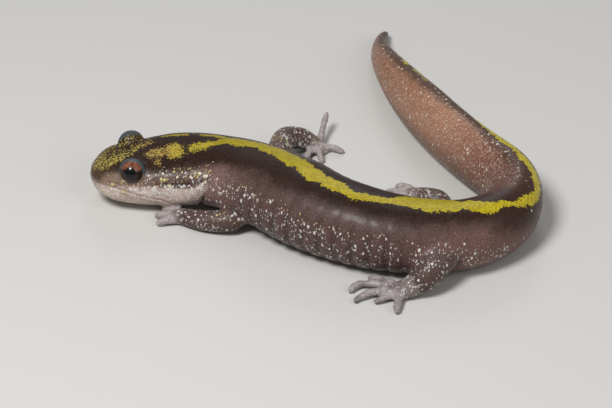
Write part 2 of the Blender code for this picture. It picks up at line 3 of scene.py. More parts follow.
import bmesh
import bpy
import numpy as np
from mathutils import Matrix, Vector


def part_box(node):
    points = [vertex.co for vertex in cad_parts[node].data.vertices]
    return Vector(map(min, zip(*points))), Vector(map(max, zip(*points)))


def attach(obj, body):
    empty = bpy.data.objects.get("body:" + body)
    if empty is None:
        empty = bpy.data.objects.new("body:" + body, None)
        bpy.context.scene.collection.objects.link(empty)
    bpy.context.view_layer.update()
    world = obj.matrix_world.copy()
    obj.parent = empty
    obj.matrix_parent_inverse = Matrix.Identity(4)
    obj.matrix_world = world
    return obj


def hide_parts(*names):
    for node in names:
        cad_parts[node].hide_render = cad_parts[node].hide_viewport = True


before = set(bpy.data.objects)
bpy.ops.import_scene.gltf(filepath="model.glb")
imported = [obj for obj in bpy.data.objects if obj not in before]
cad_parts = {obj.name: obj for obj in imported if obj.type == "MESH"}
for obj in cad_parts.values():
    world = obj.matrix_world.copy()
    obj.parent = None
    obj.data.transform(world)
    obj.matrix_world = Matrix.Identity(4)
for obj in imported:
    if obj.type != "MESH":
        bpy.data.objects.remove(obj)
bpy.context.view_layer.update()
mm = 0.001

# Everything is built in millimetres on the spine's own plan, and moved onto the frame at the end.
# Body places are along the spine from the snout, aside towards the animal's left, and up.
body = {
    "snoutPlan": (-33.55, 1.7),
    "heading": 7.4,
    # length and turn in degrees of each stretch of the spine, seen from above
    "stretches": ((14.3, -5.8), (10.5, -37.9), (10.0, -12.2), (26.7, 54.6), (24.0, 120.4),
                  (43.0, -25.5), (10.5, -36.0)),
    "bendSoftness": 4.0,      # length over which one stretch runs into the next
    "step": 0.25,
    # along, half width, height over the spine, depth under it, clearance, squareness
    "outline": (
        (0.0, 4.3, 2.3, 2.9, 1.4, 2.5),
        (2.5, 4.9, 2.7, 3.55, 1.2, 2.7),
        (5.0, 5.45, 3.2, 3.85, 0.85, 2.8),
        (7.5, 6.0, 3.65, 3.9, 0.6, 2.8),
        (10.5, 6.55, 3.9, 4.1, 0.55, 2.8),
        (13.5, 6.95, 4.15, 4.25, 0.55, 2.7),
        (15.8, 7.0, 4.4, 4.25, 0.55, 2.5),
        (18.0, 6.75, 4.7, 4.4, 0.5, 2.3),
        (21.0, 6.95, 4.9, 4.85, 0.25, 2.1),
        (26.0, 7.25, 5.1, 5.3, 0.2, 2.1),
        (31.0, 7.4, 5.6, 5.5, 0.1, 2.1),
        (37.0, 7.0, 6.1, 6.1, -0.15, 2.2),
        (45.0, 6.3, 5.9, 6.0, -0.15, 2.2),
        (53.0, 6.2, 5.6, 5.5, -0.10, 2.2),
        (59.0, 5.8, 5.4, 5.2, 0.0, 2.1),
        (64.0, 5.2, 5.3, 5.0, 0.1, 2.1),
        (70.0, 4.6, 5.4, 5.0, 0.0, 2.1),
        (80.0, 4.1, 5.3, 4.8, -0.10, 2.0),
        (92.0, 3.8, 5.1, 4.6, -0.12, 2.0),
        (104.0, 3.5, 5.0, 4.4, -0.12, 2.0),
        (115.0, 2.8, 4.3, 3.7, -0.12, 2.0),
        (125.0, 2.0, 3.1, 2.7, -0.10, 2.0),
        (133.0, 1.2, 1.9, 1.6, -0.10, 2.0),
        (139.0, 0.7, 1.0, 0.9, -0.10, 2.0),
    ),
    "snoutRounding": 4.6,
    "snoutBluntness": 2.3,
    "tailRounding": 3.0,
    # along and lean in degrees: the tail leans with its upper edge outwards of the swing
    "lean": ((0.0, 0.0), (16.0, 0.0), (24.0, -4.0), (34.0, 0.0), (60.0, -2.0), (76.0, 10.0), (139.0, 14.0)),
    "sides": 128,
    "ringStep": 0.4,
    "snoutRings": 24,
    "tipRings": 12,
}
bodyLength = sum(length for length, _ in body["stretches"])


def smoothThrough(at, places, values):
    # a smooth curve through the values, with no overshoot between them
    x = np.asarray(places, float)
    y = np.asarray(values, float)
    gap = np.diff(x)
    rise = np.diff(y) / gap
    slope = np.zeros(len(x))
    sameWay = rise[:-1] * rise[1:] > 0
    slope[1:-1][sameWay] = (2 * rise[:-1] * rise[1:] / (rise[:-1] + rise[1:] + 1e-12))[sameWay]
    slope[0], slope[-1] = rise[0], rise[-1]
    at = np.clip(at, x[0], x[-1])
    i = np.clip(np.searchsorted(x, at) - 1, 0, len(gap) - 1)
    t = (at - x[i]) / gap[i]
    start = (1 + 2 * t) * (1 - t) ** 2 * y[i] + t * (1 - t) ** 2 * gap[i] * slope[i]
    return start + t * t * (3 - 2 * t) * y[i + 1] + t * t * (t - 1) * gap[i] * slope[i + 1]


def smoothStep(value, low, high):
    t = np.clip((value - low) / (high - low), 0, 1)
    return t * t * (3 - 2 * t)


def within(value, start, full, ending, end):
    # 1 between two places, eased to 0 outside them
    return smoothStep(value, start, full) * smoothStep(value, end, ending)


def drawSpine():
    steps = int(round(bodyLength / body["step"]))
    middles = (np.arange(steps) + 0.5) * body["step"]
    rate = np.zeros(steps)
    start = 0.0
    for length, turn in body["stretches"]:
        rate[(middles >= start) & (middles < start + length)] = math.radians(turn) / length
        start += length
    reach = int(body["bendSoftness"] / body["step"])
    window = np.hanning(2 * reach + 1)
    rate = np.convolve(np.pad(rate, reach, mode="edge"), window / window.sum(), mode="valid")
    heading = math.radians(body["heading"]) + np.concatenate([[0.0], np.cumsum(rate * body["step"])])
    middle = (heading[1:] + heading[:-1]) / 2
    x = body["snoutPlan"][0] + np.concatenate([[0.0], np.cumsum(np.cos(middle) * body["step"])])
    y = body["snoutPlan"][1] + np.concatenate([[0.0], np.cumsum(np.sin(middle) * body["step"])])
    return np.arange(steps + 1) * body["step"], x, y, heading


spine = drawSpine()


def toWorld(along, aside, up):
    places, xs, ys, headings = spine
    x = np.interp(along, places, xs)
    y = np.interp(along, places, ys)
    heading = np.interp(along, places, headings)
    before = np.minimum(along, 0.0)
    x = x + before * np.cos(heading) + aside * np.sin(heading)
    y = y + before * np.sin(heading) - aside * np.cos(heading)
    return np.stack([x, y, up + 0.0 * x], axis=-1)


def outlineAt(along):
    table = np.array(body["outline"])
    wide, tall, deep, clear, square = (smoothThrough(along, table[:, 0], table[:, k]) for k in range(1, 6))
    lean = np.radians(smoothThrough(along, [p for p, _ in body["lean"]], [v for _, v in body["lean"]]))
    spineUp = clear + np.sqrt((deep * np.cos(lean)) ** 2 + (wide * np.sin(lean)) ** 2)
    fromSnout = np.clip(1 - along / body["snoutRounding"], 0, 1)
    fromTip = np.clip(1 - (bodyLength - along) / body["tailRounding"], 0, 1)
    blunt = body["snoutBluntness"]
    shrink = (1 - fromSnout**blunt) ** (1 / blunt) * np.sqrt(1 - fromTip**2)
    return wide * shrink, tall * shrink, deep * shrink, spineUp, square, lean


def bodyPlaces(along, angle):
    # angle 0 is the animal's left side, 90 degrees its back
    wide, tall, deep, spineUp, square, lean = outlineAt(along)
    high = np.where(np.sin(angle) > 0, tall, deep)
    aside = wide * np.sign(np.cos(angle)) * np.abs(np.cos(angle)) ** (2 / square)
    up = high * np.sign(np.sin(angle)) * np.abs(np.sin(angle)) ** (2 / square)
    leant = aside * np.cos(lean) + up * np.sin(lean)
    return along + 0.0 * angle, leant, up * np.cos(lean) - aside * np.sin(lean) + spineUp


eyes = {
    "place": (6.45, 4.2, 2.72),    # along, aside, and height over the spine
    "look": (-0.22, 0.86, 0.46),   # along, aside, up
    "radius": 1.85,
    "lidReach": 2.1,          # from the eye's middle to the outside of the lids
    "lidRim": 1.99,           # from the eye's middle to the crest of the rim
    "opening": 74.0,          # half angle of the opening, in degrees
    "upperLid": (9.0, 24.0),  # how much lower the near and the far upper lid hang, in degrees
    "lowerLid": 1.0,
    "rimWidth": 7.0,
    "socket": 1.6,
    "swellEnd": 3.2,          # where the lid meets the head, in widths of the rim
    "hold": (106.0, 30.0),    # the lid fades out at this angle, over so many degrees
    "margin": 0.6,
    "sides": 96,
    "rings": 90,
}


def eyeFrame(side):
    # an eyeball's middle, the way that it looks, and its top and side
    along, aside, up = eyes["place"]
    centre = np.array([along, side * aside, up + float(outlineAt(np.float64(along))[3])])
    ahead, out, above = eyes["look"]
    here = toWorld(*centre)
    way = toWorld(centre[0] + ahead, centre[1] + side * out, centre[2] + above) - here
    way /= np.linalg.norm(way)
    top = np.array([0.0, 0.0, 1.0]) - way * way[2]
    top /= np.linalg.norm(top)
    return here, way, top, np.cross(top, way)


def eyePlaces(points, side):
    # the distance from an eyeball's middle, the way there, the degrees off its look, and the rise
    centre, way, top, _ = eyeFrame(side)
    away = points - centre
    distance = np.linalg.norm(away, axis=1)
    unit = away / distance[:, None]
    return distance, unit, np.degrees(np.arccos(np.clip(unit @ way, -1, 1))), unit @ top


# points of each limb with their radii, from inside the body to the wrist or ankle
limbs = {
    "leftFore": (((-8.0, -3.6, 4.6), 2.6), ((-9.8, -6.8, 3.7), 2.0), ((-11.5, -7.8, 2.3), 1.8),
                 ((-15.4, -7.2, 1.8), 1.65), ((-19.2, -5.3, 1.25), 1.25)),
    "rightFore": (((-4.9, 0.2, 4.6), 2.6), ((-4.4, 7.0, 4.6), 1.95), ((-3.4, 13.4, 3.4), 1.9),
                  ((-1.3, 15.2, 2.5), 1.8), ((0.5, 16.0, 1.5), 1.35)),
    "leftHind": (((21.0, -16.5, 5.0), 3.2), ((20.2, -20.2, 4.9), 2.9), ((19.0, -22.4, 4.2), 2.5),
                 ((17.7, -23.7, 3.1), 2.2), ((16.0, -24.2, 1.8), 1.75)),
    "rightHind": (((20.6, -15.5, 5.0), 3.2), ((20.8, -9.5, 4.4), 2.2), ((20.8, -5.0, 3.1), 1.85),
                  ((20.2, -1.8, 2.2), 1.55), ((17.9, 0.6, 1.35), 1.2)),
}
# heading of the sole, side of the inner digit, the sole's length, half width and half height, and
# the digits from the inner one: direction, length, bend, rise of the tip
feet = {
    "leftFore": (152.0, -1, (1.9, 1.3, 0.8), (
        (112.0, 1.3, 6.0, 0.0), (130.0, 2.1, 8.0, 0.0), (158.0, 2.2, -6.0, 0.0), (192.0, 1.8, -10.0, 0.0))),
    "rightFore": (-38.0, 1, (2.3, 1.5, 0.8), (
        (79.0, 5.0, -4.0, 2.6), (-10.0, 3.3, -12.0, 0.0), (-74.0, 2.9, -6.0, 0.0),
        (-112.0, 2.2, -10.0, 0.0))),
    "leftHind": (186.0, -1, (3.4, 2.1, 0.95), (
        (151.0, 4.2, -14.0, -0.1), (159.0, 6.6, 82.0, 0.0), (184.0, 5.9, 58.0, 0.0), (203.0, 2.8, 14.0, 0.0),
        (262.0, 2.7, 4.0, 0.0))),
    "rightHind": (158.0, 1, (2.8, 1.8, 0.85), (
        (232.0, 2.8, -10.0, 0.0), (212.0, 3.7, -12.0, 0.0), (196.0, 4.1, -8.0, 0.0), (180.0, 3.5, 6.0, 0.0),
        (142.0, 2.3, 12.0, 0.0))),
}
soleForm = {"middleWidth": 0.92, "frontWidth": 0.8, "frontHeight": 0.88, "slope": 0.1}
digits = {
    "rootRadius": 0.7,
    "tipRadius": 0.6,
    "tipSwell": 0.04,
    "slimFarHand": 0.84,      # the far hand's digits are thinner
    "knuckle": 0.3,           # how high the middle of a digit arches
    "rootLift": 0.3,          # how much higher a digit starts than it ends
    "sink": 0.05,             # how far its underside is let into the floor, before it is cut flat
    "spread": 0.72,           # share of the sole's width that the roots take up
    "setback": 0.5,           # how far behind the sole's front they start
    "cornerSetback": 0.9,     # and how much farther at the sole's sides
    "overlap": 0.4,
    "curl": 3.0,              # how late along a digit its bend comes
    "spans": 20,
}
limbSpans = 18                # steps between two points of a limb


def smoothPath(points, perSpan):
    pts = [np.array(p, float) for p in points]
    ends = [2 * pts[0] - pts[1], *pts, 2 * pts[-1] - pts[-2]]
    curve, places = [], []
    for i in range(1, len(ends) - 2):
        a, b, c, d = ends[i - 1 : i + 3]
        for k in range(perSpan):
            t = k / perSpan
            cubic = (3 * b - a - 3 * c + d) * t**3
            square = (2 * a - 5 * b + 4 * c - d) * t**2
            curve.append((2 * b + (c - a) * t + square + cubic) / 2)
            places.append(i - 1 + t)
    return np.array(curve + [pts[-1]]), np.array(places + [len(pts) - 1.0])


def limbPath(limb):
    # the limb's curve to the front of its sole, its half width and half height, and the sole's way
    heading, _, (length, halfWide, halfHigh), _ = feet[limb]
    ahead = np.array([math.cos(math.radians(heading)), math.sin(math.radians(heading)), 0.0])
    wrist = np.array(limbs[limb][-1][0])
    middle = wrist + ahead * length * 0.5
    front = wrist + ahead * length
    middle[2] = halfHigh + soleForm["slope"]
    front[2] = halfHigh - soleForm["slope"]
    points = [p for p, _ in limbs[limb]] + [middle, front]
    radii = [r for _, r in limbs[limb]]
    curve, places = smoothPath(points, limbSpans)
    order = np.arange(len(points))
    soleWidths = [halfWide * soleForm["middleWidth"], halfWide * soleForm["frontWidth"]]
    wide = smoothThrough(places, order, radii + soleWidths)
    high = smoothThrough(places, order, radii + [halfHigh, halfHigh * soleForm["frontHeight"]])
    return curve, wide, high, ahead, front


def digitPaths(limb):
    # the middle line and the radii of each digit, from its root inside the sole to its tip
    slim = digits["slimFarHand"] if limb == "rightFore" else 1.0
    _, inner, (_, halfWide, _), toes = feet[limb]
    ahead, front = limbPath(limb)[3:5]
    across = np.array([-ahead[1], ahead[0]]) * inner
    spans = digits["spans"]
    paths = []
    for k, (direction, length, bend, rise) in enumerate(toes):
        aside = digits["spread"] * halfWide * (1 - 2 * k / (len(toes) - 1))
        setback = digits["setback"] + digits["cornerSetback"] * abs(aside / halfWide) ** 2
        x, y = front[:2] - ahead[:2] * setback + across * aside
        reach = length + digits["overlap"]
        points, radii = [], []
        for j in range(spans + 1):
            share = j / spans
            knuckle = digits["knuckle"] * math.sin(math.pi * share)
            height = digits["tipRadius"] - digits["sink"] + digits["rootLift"] * (1 - share)
            points.append((x, y, height + knuckle + rise * share))
            radius = digits["rootRadius"] + (digits["tipRadius"] - digits["rootRadius"]) * share
            radii.append(slim * (radius - digits["tipSwell"] * math.cos(share * 4 * math.pi)))
            turn = math.radians(direction + bend * (share + 0.5 / spans) ** digits["curl"])
            x += math.cos(turn) * reach / spans
            y += math.sin(turn) * reach / spans
        paths.append((np.array(points), np.array(radii)))
    return paths


def newGroup(name, kind, inputs, outputs):
    # an empty node group with its named sockets
    tree = bpy.data.node_groups.new(name, kind)
    for socketName, socketType, value in inputs:
        socket = tree.interface.new_socket(socketName, in_out="INPUT", socket_type=socketType)
        if value is not None:
            socket.default_value = value
    for socketName, socketType in outputs:
        tree.interface.new_socket(socketName, in_out="OUTPUT", socket_type=socketType)
    return tree, tree.nodes.new("NodeGroupInput"), tree.nodes.new("NodeGroupOutput")


def feed(tree, socket, value):
    # links a socket's value, or sets it
    if isinstance(value, bpy.types.NodeSocket):
        tree.links.new(value, socket)
    elif isinstance(value, tuple) and len(value) == 3 and socket.type == "RGBA":
        socket.default_value = (*value, 1.0)
    else:
        socket.default_value = value


def addNode(tree, kind, inputs, operation=None):
    # a new node, with its inputs by name or number
    node = tree.nodes.new(kind)
    if operation:
        node.operation = operation
    for socket, value in inputs.items():
        feed(tree, node.inputs[socket], value)
    return node


def maths(tree, kind, a, b=0.0, c=0.0):
    return addNode(tree, "ShaderNodeMath", {0: a, 1: b, 2: c}, kind).outputs[0]


def times(tree, a, b):
    return maths(tree, "MULTIPLY", a, b)


def ramp01(tree, value, low, high):
    # 0 at the low value and 1 at the high one, eased at both ends
    node = addNode(tree, "ShaderNodeMapRange", {"Value": value, "From Min": low, "From Max": high})
    node.interpolation_type = "SMOOTHSTEP"
    return node.outputs[0]


def blendColour(tree, share, a, b, kind="MIX"):
    node = tree.nodes.new("ShaderNodeMix")
    node.data_type = "RGBA"
    node.blend_type = kind
    for socket, value in ((0, share), (6, a), (7, b)):
        feed(tree, node.inputs[socket], value)
    return node.outputs[2]


def attribute(tree, name):
    node = tree.nodes.new("ShaderNodeAttribute")
    node.attribute_name = name
    return node.outputs["Fac"]


def objectPlace(tree, stretch=(1.0, 1.0, 1.0)):
    # the piece's own coordinates in millimetres
    coordinates = tree.nodes.new("ShaderNodeTexCoord")
    return addNode(tree, "ShaderNodeMapping", {
        "Vector": coordinates.outputs["Object"], "Scale": tuple(1 / mm * s for s in stretch)}).outputs[0]


def noise(tree, place, scale, detail=3.0, roughness=0.55):
    return addNode(tree, "ShaderNodeTexNoise", {
        "Vector": place, "Scale": scale, "Detail": detail, "Roughness": roughness}).outputs["Fac"]


def colourAlong(tree, value, stops):
    # a colour that changes along the body: (place from 0 to 1, colour)
    node = addNode(tree, "ShaderNodeValToRGB", {"Fac": value})
    elements = node.color_ramp.elements
    while len(elements) < len(stops):
        elements.new(0.5)
    for element, (place, colour) in zip(elements, stops):
        element.position = place
        element.color = (*colour, 1.0)
    return node.outputs["Color"]


def newMaterial(name, constants):
    # a material with constant values on its shader, its tree and its shader
    made = bpy.data.materials.new(name)
    made.use_nodes = True
    shader = made.node_tree.nodes["Principled BSDF"]
    for socket, value in constants.items():
        shader.inputs[socket].default_value = value
    return made, made.node_tree, shader


def fleckGroup():
    # small spots of uneven size and outline, as many as the amount asks for
    tree, start, end = newGroup("flecks", "ShaderNodeTree", (
        ("Place", "NodeSocketVector", None), ("Scale", "NodeSocketFloat", 1.4),
        ("Amount", "NodeSocketFloat", 0.5), ("Size", "NodeSocketFloat", 0.3),
        ("Raggedness", "NodeSocketFloat", 0.3)), (("Mask", "NodeSocketFloat"),))
    place = start.outputs["Place"]
    wobble = addNode(tree, "ShaderNodeTexNoise", {"Vector": place, "Scale": 3.4, "Detail": 2.0})
    shift = addNode(tree, "ShaderNodeVectorMath", {
        0: wobble.outputs["Color"], 1: start.outputs["Raggedness"], 2: place}, "MULTIPLY_ADD")
    cells = addNode(tree, "ShaderNodeTexVoronoi", {
        "Vector": shift.outputs[0], "Scale": start.outputs["Scale"]})
    parts = addNode(tree, "ShaderNodeSeparateColor", {"Color": cells.outputs["Color"]})
    present = maths(tree, "LESS_THAN", parts.outputs[0], start.outputs["Amount"])
    uneven = maths(tree, "MULTIPLY_ADD", parts.outputs[1], 0.9, 0.35)
    size = times(tree, start.outputs["Size"], uneven)
    spot = ramp01(tree, cells.outputs["Distance"], size, times(tree, size, 0.62))
    tree.links.new(times(tree, spot, present), end.inputs["Mask"])
    return tree


fleckTree = fleckGroup()


def useFlecks(tree, place, scale, amount, size, raggedness=0.3):
    node = tree.nodes.new("ShaderNodeGroup")
    node.node_tree = fleckTree
    values = {"Place": place, "Scale": scale, "Amount": amount, "Size": size, "Raggedness": raggedness}
    for name, value in values.items():
        feed(tree, node.inputs[name], value)
    return node.outputs["Mask"]


def unevenBy(tree, place, scale, detail, amount, roughness=0.55):
    # noise on both sides of 0
    return times(tree, maths(tree, "SUBTRACT", noise(tree, place, scale, detail, roughness), 0.5), amount)


def mottled(tree, distance, place, width=0.05):
    # a patch with a ragged edge from its distance field, in coarse lobes and fine teeth
    lobes = unevenBy(tree, place, 0.6, 2.0, skinTexture["stripeLobes"])
    teeth = unevenBy(tree, place, 2.4, 3.0, skinTexture["stripeTeeth"])
    return ramp01(tree, maths(tree, "ADD", distance, maths(tree, "ADD", lobes, teeth)), -width, width)


skinLook = {
    # place along the body from 0 to 1, and the colour there
    "back": ((0.0, (0.070, 0.040, 0.024)), (0.035, (0.030, 0.015, 0.009)), (0.10, (0.022, 0.010, 0.006)),
             (0.20, (0.027, 0.013, 0.009)), (0.38, (0.020, 0.010, 0.007)), (0.50, (0.036, 0.018, 0.013)),
             (0.56, (0.066, 0.032, 0.023)), (0.70, (0.090, 0.044, 0.028)), (1.0, (0.10, 0.06, 0.045))),
    "flank": ((0.0, (0.24, 0.165, 0.115)), (0.06, (0.16, 0.105, 0.075)), (0.11, (0.085, 0.048, 0.039)),
              (0.165, (0.19, 0.113, 0.104)), (0.21, (0.100, 0.060, 0.055)), (0.38, (0.090, 0.052, 0.048)),
              (0.46, (0.150, 0.082, 0.070)), (0.55, (0.125, 0.060, 0.045)), (0.61, (0.18, 0.086, 0.060)),
              (0.70, (0.34, 0.180, 0.115)), (0.86, (0.25, 0.115, 0.060)), (1.0, (0.22, 0.13, 0.10))),
    "jaw": (0.60, 0.50, 0.45),
    "jawShade": (0.42, 0.33, 0.29),
    "stripe": (0.46, 0.365, 0.008),
    "stripeTail": (0.62, 0.50, 0.03),
    "stripeDark": (0.17, 0.12, 0.006),
    "gold": ((0.0, (0.42, 0.34, 0.07)), (0.05, (0.42, 0.34, 0.07)), (0.068, (0.47, 0.32, 0.085)),
             (0.084, (0.46, 0.31, 0.065)), (0.092, (0.46, 0.33, 0.045)), (0.115, (0.46, 0.365, 0.03))),
    "fleck": (0.62, 0.60, 0.58),
    "fleckYellow": (0.55, 0.47, 0.18),
    "limb": (0.080, 0.052, 0.046),
    "toe": (0.40, 0.365, 0.36),
    "granule": (0.50, 0.33, 0.25),
    # painted shade for the tail's lower edge
    "tailUnderShade": (0.05, 0.028, 0.020),
    # painted reflection: the blue-grey sheen of the wet upper lid rims
    "lid": (0.055, 0.072, 0.080),
    # painted shade in the creases, folds, grooves and nostrils
    "creaseShade": (0.012, 0.007, 0.006),
}
skinTexture = {
    # how many features of each kind there are in a millimetre
    "patches": 0.5,
    "stipple": 4.6,
    "pepper": 7.5,
    "clusters": 0.42,
    "yellowPatches": 0.7,
    "stripePatches": 1.6,
    "goldSpecks": 3.3,
    "grain": 3.4,
    "largeFlecks": 1.8,
    "smallFlecks": 3.2,
    "granules": 3.0,
    # how ragged the stripe's edge is, in millimetres
    "stripeLobes": 2.0,
    "stripeTeeth": 1.3,
    "goldRaggedness": 7.0,
    "fleckSize": 0.40,        # share of a cell that a fleck may fill
    "crowdedSize": 0.16,      # and how much larger where they are many
    "granuleSize": 0.62,
    "roughness": 0.22,
    "unevenRoughness": 0.30,
    "toeRoughness": -0.12,
    "bump": 0.55,
    "bumpHeight": 0.00012,    # in metres
}
skinShine = {"Specular IOR Level": 0.16, "Coat Weight": 0.06, "Coat Roughness": 0.14}


def skinMaterial():
    made, tree, shader = newMaterial("wetSkin", skinShine)
    place = objectPlace(tree)
    streaked = objectPlace(tree, (1.0, 1.0, 0.72))
    share = maths(tree, "DIVIDE", attribute(tree, "along"), bodyLength)
    coarse = noise(tree, place, skinTexture["patches"], 4.0, 0.6)
    fine = noise(tree, place, skinTexture["stipple"], 4.0, 0.65)
    pepperNoise = noise(tree, place, skinTexture["pepper"], 2.0, 0.5)
    # dark back, paler flanks and belly, with a patchy boundary
    side = maths(tree, "MULTIPLY_ADD", maths(tree, "SUBTRACT", coarse, 0.5), 0.9, attribute(tree, "side"))
    ground = blendColour(tree, ramp01(tree, side, 0.0, 1.0), colourAlong(tree, share, skinLook["back"]),
                         colourAlong(tree, share, skinLook["flank"]))
    # limbs, and their paler toes
    limb = attribute(tree, "limb")
    toe = attribute(tree, "toe")
    ground = blendColour(tree, limb, ground, skinLook["limb"])
    ground = blendColour(tree, times(tree, toe, 0.8), ground, skinLook["toe"])
    # grey-cream jaw and throat, fading upwards in specks
    jawEdge = maths(tree, "MULTIPLY_ADD", maths(tree, "SUBTRACT", fine, 0.5), 1.3, attribute(tree, "pale"))
    jawColour = blendColour(tree, ramp01(tree, coarse, 0.35, 0.65), skinLook["jawShade"], skinLook["jaw"])
    ground = blendColour(tree, ramp01(tree, jawEdge, 0.1, 1.05), ground, jawColour)
    # granular darker and paler stipple over everything
    stipple = blendColour(tree, ramp01(tree, fine, 0.3, 0.72), (0.62, 0.60, 0.60), (1.45, 1.42, 1.40))
    ground = blendColour(tree, 1.0, ground, stipple, "MULTIPLY")
    # pale granules on the tail, and painted shade that darkens the tail towards its lower edge
    granules = useFlecks(tree, place, skinTexture["granules"], 0.9, skinTexture["granuleSize"], 0.25)
    onTail = times(tree, ramp01(tree, share, 0.50, 0.58), ramp01(tree, side, 0.0, 0.9))
    onTail = times(tree, onTail, maths(tree, "SUBTRACT", 1.0, limb))
    granules = times(tree, granules, times(tree, onTail, 0.45))
    ground = blendColour(tree, granules, ground, skinLook["granule"])
    # painted shade: the low side of the tail is darkened as if turned away from the light
    shadedLowOnTail = times(tree, onTail, ramp01(tree, side, 2.6, 4.6))
    ground = blendColour(tree, times(tree, shadedLowOnTail, 0.5), ground, skinLook["tailUnderShade"])
    # pale flecks in clusters, some of them yellowish, and larger where they are many
    clusters = ramp01(tree, noise(tree, place, skinTexture["clusters"], 3.0), 0.34, 0.56)
    amount = times(tree, attribute(tree, "fleck"), maths(tree, "MULTIPLY_ADD", clusters, 0.85, 0.15))
    crowd = ramp01(tree, amount, 0.7, 1.8)
    largeSize = maths(tree, "MULTIPLY_ADD", crowd, skinTexture["crowdedSize"], skinTexture["fleckSize"])
    large = useFlecks(tree, streaked, skinTexture["largeFlecks"], times(tree, amount, 0.85), largeSize)
    small = useFlecks(tree, streaked, skinTexture["smallFlecks"], times(tree, amount, 0.9), 0.42)
    dots = maths(tree, "MAXIMUM", large, times(tree, small, 0.75))
    yellowPatch = ramp01(tree, noise(tree, place, skinTexture["yellowPatches"], 1.0), 0.42, 0.55)
    yellow = times(tree, attribute(tree, "yellow"), yellowPatch)
    ground = blendColour(tree, dots, ground,
                         blendColour(tree, yellow, skinLook["fleck"], skinLook["fleckYellow"]))
    # stripe and its forks, olive yellow with dark pepper and a ragged edge
    stripe = mottled(tree, attribute(tree, "stripe"), place)
    towardsHead = ramp01(tree, share, 0.19, 0.13)
    pepper = ramp01(tree, maths(tree, "MULTIPLY_ADD", towardsHead, 0.07, pepperNoise), 0.50, 0.64)
    patch = ramp01(tree, noise(tree, place, skinTexture["stripePatches"], 3.0), 0.4, 0.62)
    stripeColour = blendColour(tree, ramp01(tree, share, 0.44, 0.54), skinLook["stripe"],
                               skinLook["stripeTail"])
    for darker, strength in ((patch, 0.35), (pepper, 0.75)):
        stripeColour = blendColour(tree, times(tree, darker, strength), stripeColour, skinLook["stripeDark"])
    ground = blendColour(tree, stripe, ground, stripeColour)
    # gold stipple on the snout, the crown and the patches behind the eye
    specks = unevenBy(tree, place, skinTexture["goldSpecks"], 3.0, skinTexture["goldRaggedness"], 0.7)
    gold = ramp01(tree, maths(tree, "ADD", attribute(tree, "gold"), specks), 0.0, 0.30)
    ground = blendColour(tree, times(tree, gold, 0.92), ground, colourAlong(tree, share, skinLook["gold"]))
    # painted reflection: a blue-grey sheen on the upper lids; then painted shade in the creases
    ground = blendColour(tree, attribute(tree, "lid"), ground, skinLook["lid"])
    # painted shade: the creases and folds darkened as if shadowed
    ground = blendColour(tree, attribute(tree, "creaseShade"), ground, skinLook["creaseShade"])
    tree.links.new(ground, shader.inputs["Base Color"])
    # the toes are wetter than the rest
    smoothest = maths(tree, "MULTIPLY_ADD", toe, skinTexture["toeRoughness"], skinTexture["roughness"])
    tree.links.new(maths(tree, "MULTIPLY_ADD", fine, skinTexture["unevenRoughness"], smoothest),
                   shader.inputs["Roughness"])
    height = maths(tree, "ADD", noise(tree, place, skinTexture["grain"], 4.0, 0.6), times(tree, dots, 0.25))
    bump = addNode(tree, "ShaderNodeBump", {
        "Strength": skinTexture["bump"], "Distance": skinTexture["bumpHeight"], "Height": height})
    tree.links.new(bump.outputs[0], shader.inputs["Normal"])
    return made


eyeLook = {
    "pupil": 24.0,            # half angle in degrees
    "crescentFrom": 27.0,
    "crescentTo": 72.0,
    "softness": 4.0,
    "dark": (0.013, 0.005, 0.005),
    "copper": (0.30, 0.105, 0.055),
    "pupilColour": (0.002, 0.002, 0.003),
}
eyeShine = {"Roughness": 0.3, "Specular IOR Level": 0.12, "Coat Weight": 0.5, "Coat Roughness": 0.06}


def eyeMaterial():
    made, tree, shader = newMaterial("wetEye", eyeShine)
    place = objectPlace(tree)
    fromAxis = attribute(tree, "fromAxis")
    rays = noise(tree, place, 2.8, 4.0, 0.7)
    soft = eyeLook["softness"]
    ring = times(tree, ramp01(tree, fromAxis, eyeLook["crescentFrom"] - soft, eyeLook["crescentFrom"] + soft),
                 ramp01(tree, fromAxis, eyeLook["crescentTo"], eyeLook["crescentTo"] - 10))
    zone = times(tree, ring, ramp01(tree, attribute(tree, "height"), 0.05, 0.30))
    copper = times(tree, zone, maths(tree, "MULTIPLY_ADD", ramp01(tree, rays, 0.40, 0.62), 0.85, 0.15))
    colour = blendColour(tree, copper, eyeLook["dark"], eyeLook["copper"])
    pupil = ramp01(tree, fromAxis, eyeLook["pupil"] + 2, eyeLook["pupil"] - 2)
    colour = blendColour(tree, pupil, colour, eyeLook["pupilColour"])
    tree.links.new(colour, shader.inputs["Base Color"])
    return made


wetSkin = skinMaterial()
wetEye = eyeMaterial()


def shell(rings, startPole, endPole):
    # a stack of rings closed with a pole at each end
    count = len(rings[0])
    points = np.concatenate([np.concatenate(rings), [startPole, endPole]])
    first, last = len(points) - 2, len(points) - 1
    faces = []
    for i in range(len(rings) - 1):
        for j in range(count):
            k = (j + 1) % count
            faces.append((i * count + j, i * count + k, (i + 1) * count + k, (i + 1) * count + j))
    top = (len(rings) - 1) * count
    for j in range(count):
        k = (j + 1) % count
        faces.append((k, j, first))
        faces.append((top + j, top + k, last))
    return points, faces


